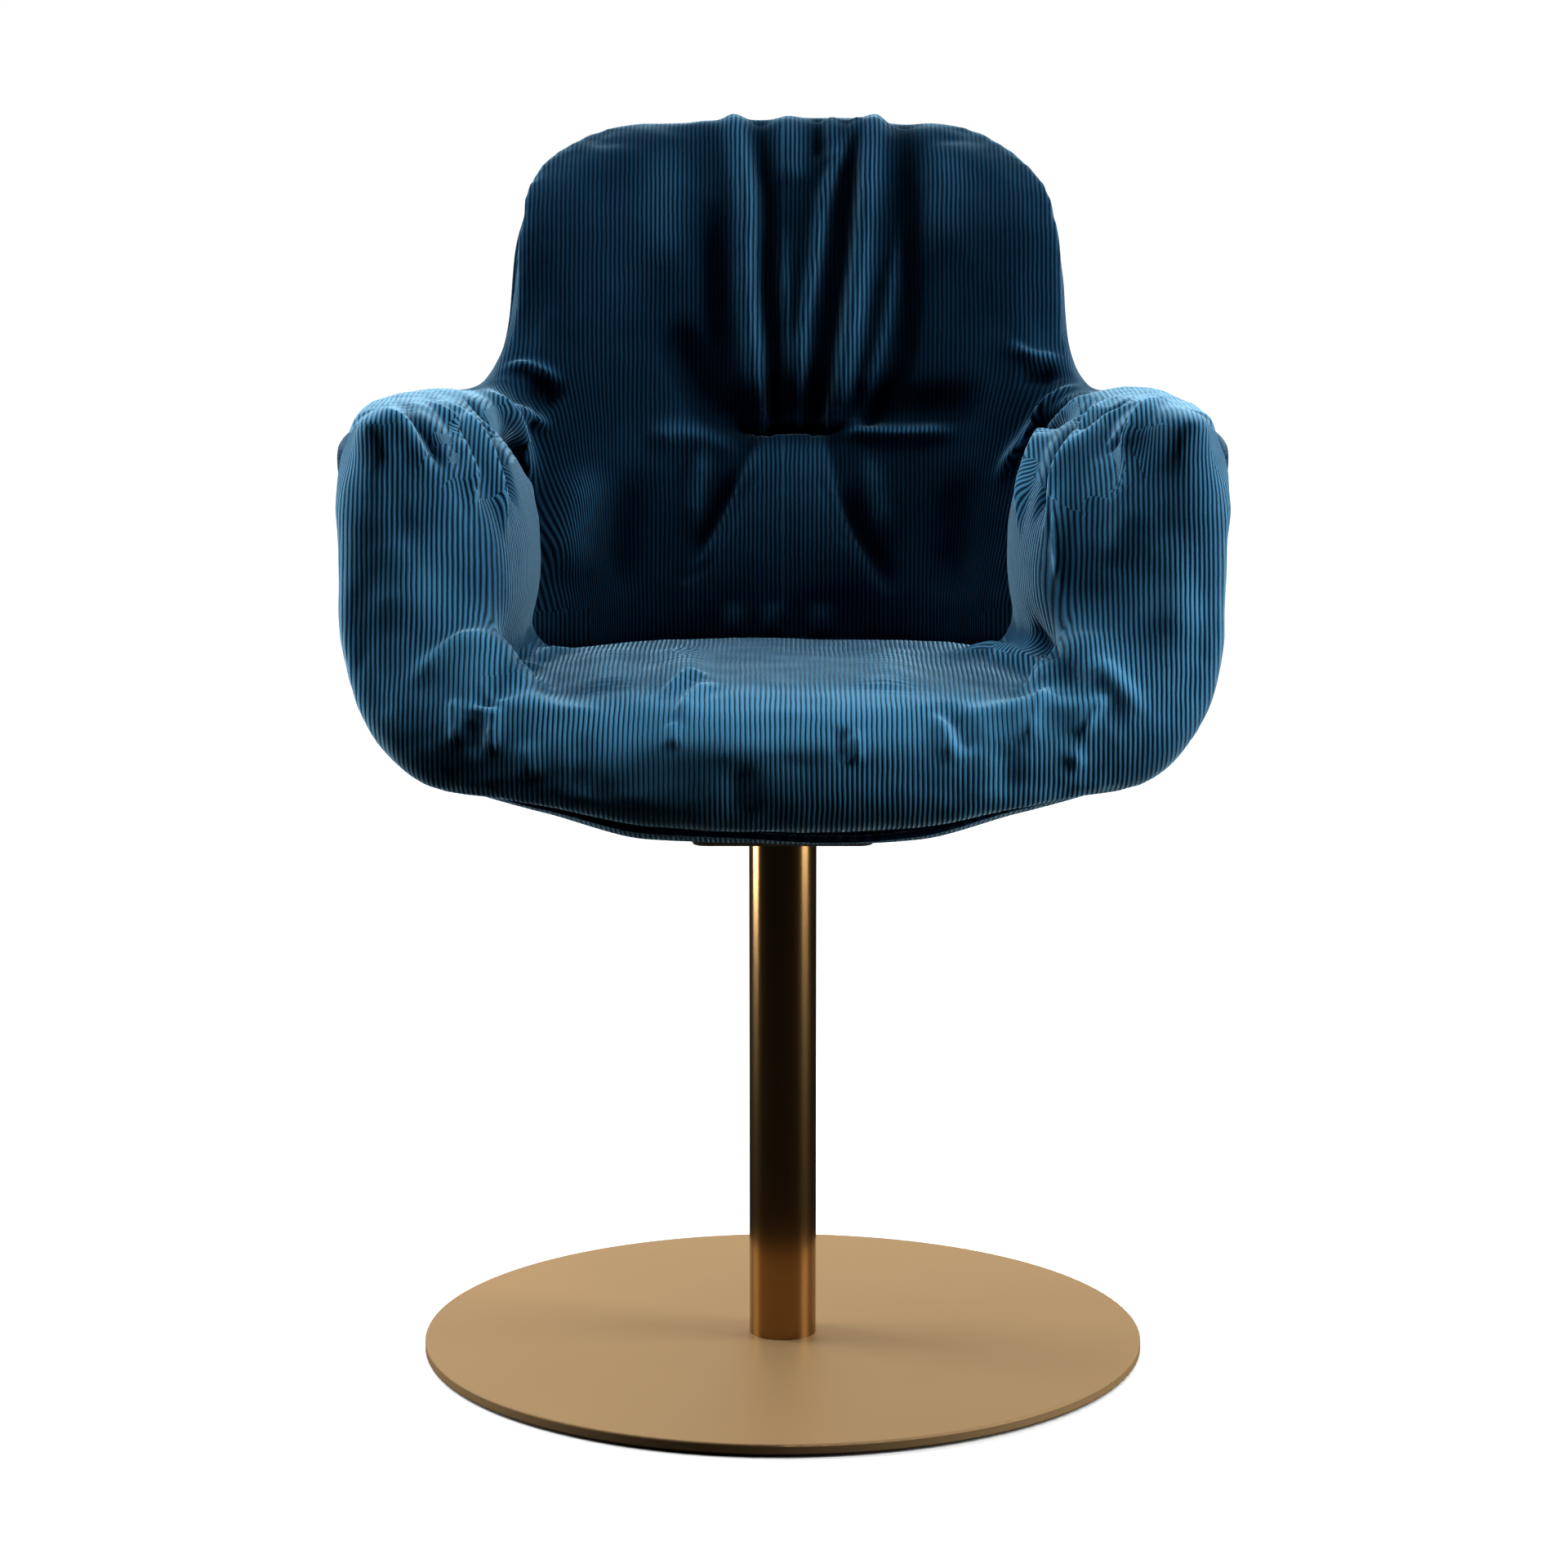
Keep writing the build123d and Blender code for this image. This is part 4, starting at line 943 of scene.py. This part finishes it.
def quilt_nap_and_shading(points, rise):
    """How light the pile looks at every point of the quilt, with light and shade painted by panel and by
    fold.
    """
    side, y, z = np.abs(points[:, 0]), points[:, 1], points[:, 2]
    in_front = 1 - fade(y, *NAP_SHADING_BACK)
    arm = fade(side, *NAP_SHADING_ARM) * in_front
    nap_and_shading = BACK_NAP_AND_SHADE + in_front * (SEAT_NAP_AND_LIGHT - BACK_NAP_AND_SHADE)
    nap_and_shading = nap_and_shading + arm * (ARM_NAP_AND_LIGHT - nap_and_shading)
    front = fade(-y, *NAP_SHADING_FRONT) * fade(z, *NAP_SHADING_FRONT_UP)
    nap_and_shading = nap_and_shading + front * (FRONT_NAP_AND_LIGHT - nap_and_shading)
    corner = (1 - fade(z, *NAP_SHADING_CORNER_UP)) * fade(side, *NAP_SHADING_CORNER_SIDE) * fade(-y, *NAP_SHADING_CORNER_FRONT)
    nap_and_shading = nap_and_shading + corner * (CORNER_NAP_AND_SHADE - nap_and_shading)
    # Painted light on the crests and painted shade in the creases.
    return nap_and_shading + np.clip(rise * FOLD_LIGHT_AND_SHADE, CREASE_SHADE_LIMIT, CREST_LIGHT_LIMIT)


nap_and_shading = quilt_nap_and_shading(quilt_points, fold_rise)
store(quilt, "nap_and_shading", nap_and_shading)
# The shell's one value is painted shade, darker than the quilt.
store(shell, "nap_and_shading", np.full(len(shell_points), SHELL_NAP_AND_SHADE))
print("nap from", round(float(nap_and_shading.min()), 2), "to", round(float(nap_and_shading.max()), 2))

# %% [markdown]
# A material is a small graph of nodes, and every finish below is made from the same few: sums, noise, a ramp
# of colours, a bump and a stored attribute. Each gets a short function, so that a finish reads as a recipe.

# %% Material nodes


def math_node(nodes, links, operation, first, second=0.0):
    """One sum in a material. Each input is a number or the output of another node."""
    one = nodes.new("ShaderNodeMath")
    one.operation = operation
    for socket, value in zip(one.inputs, (first, second)):
        if isinstance(value, (int, float)):
            socket.default_value = value
        else:
            links.new(value, socket)
    return one.outputs["Value"]


def noise_node(nodes, links, place, scale, detail=2.0):
    """Noise between 0 and 1 on the object's own coordinates."""
    one = nodes.new("ShaderNodeTexNoise")
    one.inputs["Scale"].default_value = scale
    one.inputs["Detail"].default_value = detail
    links.new(place, one.inputs["Vector"])
    return one.outputs["Fac"]


def ramp_node(nodes, links, value, *stops):
    """Colours by value: each stop is a position and a colour."""
    one = nodes.new("ShaderNodeValToRGB")
    while len(one.color_ramp.elements) < len(stops):
        one.color_ramp.elements.new(0.5)
    for element, (position, colour) in zip(one.color_ramp.elements, stops):
        element.position = position
        element.color = (*colour, 1)
    links.new(value, one.inputs["Fac"])
    return one.outputs["Color"]


def bump_node(nodes, links, height, strength, distance, shader):
    """Turns a height into small relief on a shader."""
    one = nodes.new("ShaderNodeBump")
    one.inputs["Strength"].default_value = strength
    one.inputs["Distance"].default_value = distance
    links.new(height, one.inputs["Height"])
    links.new(one.outputs["Normal"], shader.inputs["Normal"])


def attribute_node(nodes, name):
    """The number that a piece stores at each of its points under a name."""
    one = nodes.new("ShaderNodeAttribute")
    one.attribute_name = name
    return one.outputs["Fac"]


print("stored on the quilt:", ", ".join(layer.name for layer in quilt.data.attributes))

# %% [markdown]
# Corduroy is a pile cloth: rounded cords of short upright fibres with a groove between them. The groove is
# nearly black, the crest is blue, and the fibres catch light at a grazing angle, which is what the sheen
# does. The ridges are a cosine of the stored wale, a little noise lets them wander, and slower noise darkens
# patches where the pile lies over.

# %% Corduroy
WALE_PITCH = 0.0033
WALE_WANDER, WANDER_SCALE = 0.0022, 28
CORD_ROUNDNESS = 0.6
FUZZ, PILE_SCALE = 0.35, 1300
PATCHES, PATCH_SCALE, PATCH_DETAIL = 0.55, 13, 4
CORD_RELIEF, CORD_DEPTH = 0.6, 0.0010
PILE_ROUGHNESS = 0.85
NAP_AND_SHADING_SHEEN = 1.35
SHEEN_ROUGHNESS = 0.27
SHEEN_TINT = (0.42, 0.76, 1.0, 1)
PILE_COLOURS = (
    (0.0, (0.0004, 0.0025, 0.006)),
    (0.35, (0.0032, 0.0150, 0.033)),
    (0.7, (0.0140, 0.0580, 0.110)),
    (1.0, (0.0320, 0.1200, 0.210)),
)


def corduroy_material():
    """Blue fine-wale corduroy on the stored wale, or on X where the cloth lies flat."""
    material, nodes, links, shader = new_material("blue_corduroy", roughness=PILE_ROUGHNESS)
    place = nodes.new("ShaderNodeTexCoord").outputs["Object"]
    axes = nodes.new("ShaderNodeSeparateXYZ")
    links.new(place, axes.inputs["Vector"])
    wale = attribute_node(nodes, "wale")
    flat = math_node(nodes, links, "GREATER_THAN", attribute_node(nodes, "lies_flat"), 0.5)
    step = math_node(nodes, links, "SUBTRACT", axes.outputs["X"], wale)
    chosen = math_node(nodes, links, "ADD", wale, math_node(nodes, links, "MULTIPLY", flat, step))
    wander = math_node(nodes, links, "SUBTRACT", noise_node(nodes, links, place, WANDER_SCALE), 0.5)
    moved = math_node(nodes, links, "ADD", chosen, math_node(nodes, links, "MULTIPLY", wander, WALE_WANDER))
    turn = math_node(nodes, links, "MULTIPLY", moved, 2 * math.pi / WALE_PITCH)
    wave = math_node(nodes, links, "MULTIPLY", math_node(nodes, links, "COSINE", turn), 0.5)
    cord = math_node(nodes, links, "POWER", math_node(nodes, links, "ADD", wave, 0.5), CORD_ROUNDNESS)
    pile = noise_node(nodes, links, place, PILE_SCALE)
    cloudy = noise_node(nodes, links, place, PATCH_SCALE, PATCH_DETAIL)
    patch = math_node(nodes, links, "SUBTRACT", cloudy, 0.5)
    fuzz = math_node(nodes, links, "MULTIPLY", math_node(nodes, links, "SUBTRACT", pile, 0.5), FUZZ)
    lift = math_node(nodes, links, "MULTIPLY", patch, PATCHES)
    tone = math_node(nodes, links, "ADD", math_node(nodes, links, "ADD", cord, lift), fuzz)
    # The stored number paints light and shade into the colour, and the sheen's weight follows it.
    nap_and_shading = attribute_node(nodes, "nap_and_shading")
    colour = ramp_node(nodes, links, math_node(nodes, links, "MULTIPLY", tone, nap_and_shading), *PILE_COLOURS)
    sheen = math_node(nodes, links, "MINIMUM", math_node(nodes, links, "MULTIPLY", nap_and_shading, NAP_AND_SHADING_SHEEN), 1.0)
    links.new(sheen, shader.inputs["Sheen Weight"])
    links.new(colour, shader.inputs["Base Color"])
    relief = math_node(nodes, links, "ADD", cord, fuzz)
    bump_node(nodes, links, relief, CORD_RELIEF, CORD_DEPTH, shader)
    shader.inputs["Specular IOR Level"].default_value = 0.0
    shader.inputs["Sheen Roughness"].default_value = SHEEN_ROUGHNESS
    shader.inputs["Sheen Tint"].default_value = SHEEN_TINT
    return material


def dress(piece, material):
    """Gives a piece one material and nothing else."""
    piece.data.materials.clear()
    piece.data.materials.append(material)


corduroy = corduroy_material()
dress(quilt, corduroy)
dress(shell, corduroy)
print("corduroy on", quilt.name, "and", shell.name)

# %% [markdown]
# A welt, a thin cord sewn into the seam, hides where the outer cover meets the quilt. It follows the outer
# edge of the shell's rim. That edge is found in the cover's own mesh: it is where a wall face that looks
# outwards meets a narrow rim face at a sharp angle. Seen from the front the rim goes once round the chair, so
# its corners are put in order by their angle, smoothed and given a round section.

# %% Welt
WELT_RADIUS = 0.0024
WELT_STEP = 0.005
WELT_ROUNDING = 3
SHARP_EDGE = math.radians(40)
SHELL_MIDDLE = Vector((0, -0.02, 0.62))
MOUNT_REACH = 0.14
LOOKS_OUT = 0.5


def looks_out(face):
    """Whether a face is on the outside of the bucket."""
    return face.normal.dot((face.calc_center_median() - SHELL_MIDDLE).normalized()) > LOOKS_OUT


def off_the_mount(place):
    """Whether a corner is on the rim, and not round the mount's opening."""
    return math.hypot(place[0], place[1]) > MOUNT_REACH or place[2] > SEAT_TOP_Z


def rim_corners(mesh):
    """Corners of the sharp edges between the outer wall and the rim, without the ones round the mount."""
    corners = set()
    for edge in mesh.edges:
        if len(edge.link_faces) == 2 and edge.calc_face_angle(0) > SHARP_EDGE:
            first, second = (looks_out(face) for face in edge.link_faces)
            if first != second:
                corners.update(tuple(corner.co) for corner in edge.verts)
    return [place for place in corners if off_the_mount(place)]


def angle_in_front_view(place):
    """The angle of a corner about the shell's middle, seen from the front."""
    return math.atan2(place[2] - SHELL_MIDDLE.z, place[0])


rim_copy = copy_node("outer_cover", "rim_copy")
rim_mesh = bmesh.new()
rim_mesh.from_mesh(rim_copy.data)
rim_mesh.normal_update()
rim_line = sorted(rim_corners(rim_mesh), key=angle_in_front_view)
rim_mesh.free()
bpy.data.objects.remove(rim_copy)
rim_line = draw_in(rounded(evenly(rim_line + rim_line[:1], WELT_STEP), WELT_ROUNDING)[:-1])
welt_places = [Place(*spot, WELT_RADIUS) for spot in rim_line]
welt = tube_of("edge_welt", welt_places, True)
bpy.ops.object.shade_smooth()
welt_lengths = np.linalg.norm(np.diff(rim_line, axis=0, append=rim_line[:1]), axis=1)
welt_reach = np.concatenate([[0], np.cumsum(welt_lengths)[:-1]])
welt_tree = KDTree(len(rim_line))
for number, spot in enumerate(rim_line):
    welt_tree.insert(spot, number)
welt_tree.balance()
nearest = [welt_tree.find(Vector(spot))[1] for spot in points_of(welt)]
store(welt, "wale", welt_reach[nearest])
store(welt, "lies_flat", np.zeros(len(nearest)))
# The welt takes the shell's painted shade.
store(welt, "nap_and_shading", np.full(len(nearest), SHELL_NAP_AND_SHADE))
dress(welt, corduroy)
print("welt:", round(float(welt_lengths.sum()), 2), "m round the shell")

# %% [markdown]
# The base is steel with a satin bronze finish. Its colour is even, so what shows is how softly it reflects:
# a fine noise in the roughness, as a sprayed metal finish has, and a slow change of tone. The other metal,
# plastic and cloth pieces are mostly hidden, but each has its own finish, because someone may take the chair
# apart.

# %% Finishes of the hard pieces
TONE_DARK, TONE_PALE, TONE_SCALE = 0.96, 1.04, 4
GRAIN_SCALE, GRAIN_RELIEF, GRAIN_DEPTH = 900, 0.02, 0.00005
FIBRE_ROUGHNESS, FIBRE_DETAIL, FIBRE_RELIEF = 0.95, 5, 0.7
RAMP_START, RAMP_END = 0.3, 0.7
PLATE_TINT = (1.0, 0.76, 0.48, 1)


def sprayed_material(name, colour, roughness, metallic, grain=0.03, clear=0.5):
    """A sprayed or turned finish: slow changes of tone, fine noise in the gloss, and some clear gloss."""
    material, nodes, links, shader = new_material(name, colour, roughness, metallic)
    shader.inputs["Specular IOR Level"].default_value = clear
    place = nodes.new("ShaderNodeTexCoord").outputs["Object"]
    dark = tuple(TONE_DARK * part for part in colour)
    pale = tuple(min(1.0, TONE_PALE * part) for part in colour)
    tone = noise_node(nodes, links, place, TONE_SCALE)
    toned = ramp_node(nodes, links, tone, (RAMP_START, dark), (RAMP_END, pale))
    links.new(toned, shader.inputs["Base Color"])
    fine = noise_node(nodes, links, place, GRAIN_SCALE)
    swing = math_node(nodes, links, "MULTIPLY", math_node(nodes, links, "SUBTRACT", fine, 0.5), grain)
    links.new(math_node(nodes, links, "ADD", swing, roughness), shader.inputs["Roughness"])
    bump_node(nodes, links, fine, GRAIN_RELIEF, GRAIN_DEPTH, shader)
    return material


def fibre_material(name, dark, pale, scale, depth):
    """Felt, foam or webbing: a rough noise in colour and relief."""
    material, nodes, links, shader = new_material(name, pale, FIBRE_ROUGHNESS)
    place = nodes.new("ShaderNodeTexCoord").outputs["Object"]
    fibre = noise_node(nodes, links, place, scale, FIBRE_DETAIL)
    toned = ramp_node(nodes, links, fibre, (RAMP_START, dark), (RAMP_END, pale))
    links.new(toned, shader.inputs["Base Color"])
    bump_node(nodes, links, fibre, FIBRE_RELIEF, depth, shader)
    return material


FINISHES = {
    "bronze_metal": sprayed_material("satin_bronze", (0.300, 0.170, 0.064), 0.17, 1.0),
    "black_paint": sprayed_material("black_paint", (0.012, 0.012, 0.013), 0.45, 0.0),
    "plain_steel": sprayed_material("turned_steel", (0.52, 0.52, 0.53), 0.32, 1.0, 0.12),
    "bearing_plastic": sprayed_material("bearing_plastic", (0.80, 0.79, 0.74), 0.4, 0.0),
    "shell_plastic": sprayed_material("shell_plastic", (0.05, 0.05, 0.052), 0.55, 0.0, 0.1),
    "felt": fibre_material("pressed_felt", (0.018, 0.018, 0.018), (0.06, 0.06, 0.06), 700, 0.0008),
    "foam": fibre_material("foam", (0.55, 0.51, 0.40), (0.75, 0.72, 0.60), 500, 0.0010),
    "webbing": fibre_material("webbing", (0.03, 0.03, 0.035), (0.09, 0.09, 0.10), 800, 0.0005),
    "blue_corduroy": corduroy,
}
for subpart in frame["record"]["subparts"]:
    dress(frame["nodes"][subpart["node"]], FINISHES[subpart["material_slot"]])
plate_finish = sprayed_material("bronze_plate", (0.132, 0.084, 0.040), 0.50, 0.2, clear=0.02)
plate_finish.node_tree.nodes["Principled BSDF"].inputs["Specular Tint"].default_value = PLATE_TINT
dress(frame["nodes"]["base_plate"], plate_finish)

# %% [markdown]
# Last, each new piece rides on the seat's body, and the solids that the shell and the quilt were welded from
# are hidden.

# %% Ride on the seat
QUILT_NODES = ("seat_pad", "back_pad", "arm_pad_left", "arm_pad_right", "shell_foam")
for piece in (shell, quilt, welt):
    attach(piece, "seat")
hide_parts("outer_cover", "shell_core")
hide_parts(*QUILT_NODES)
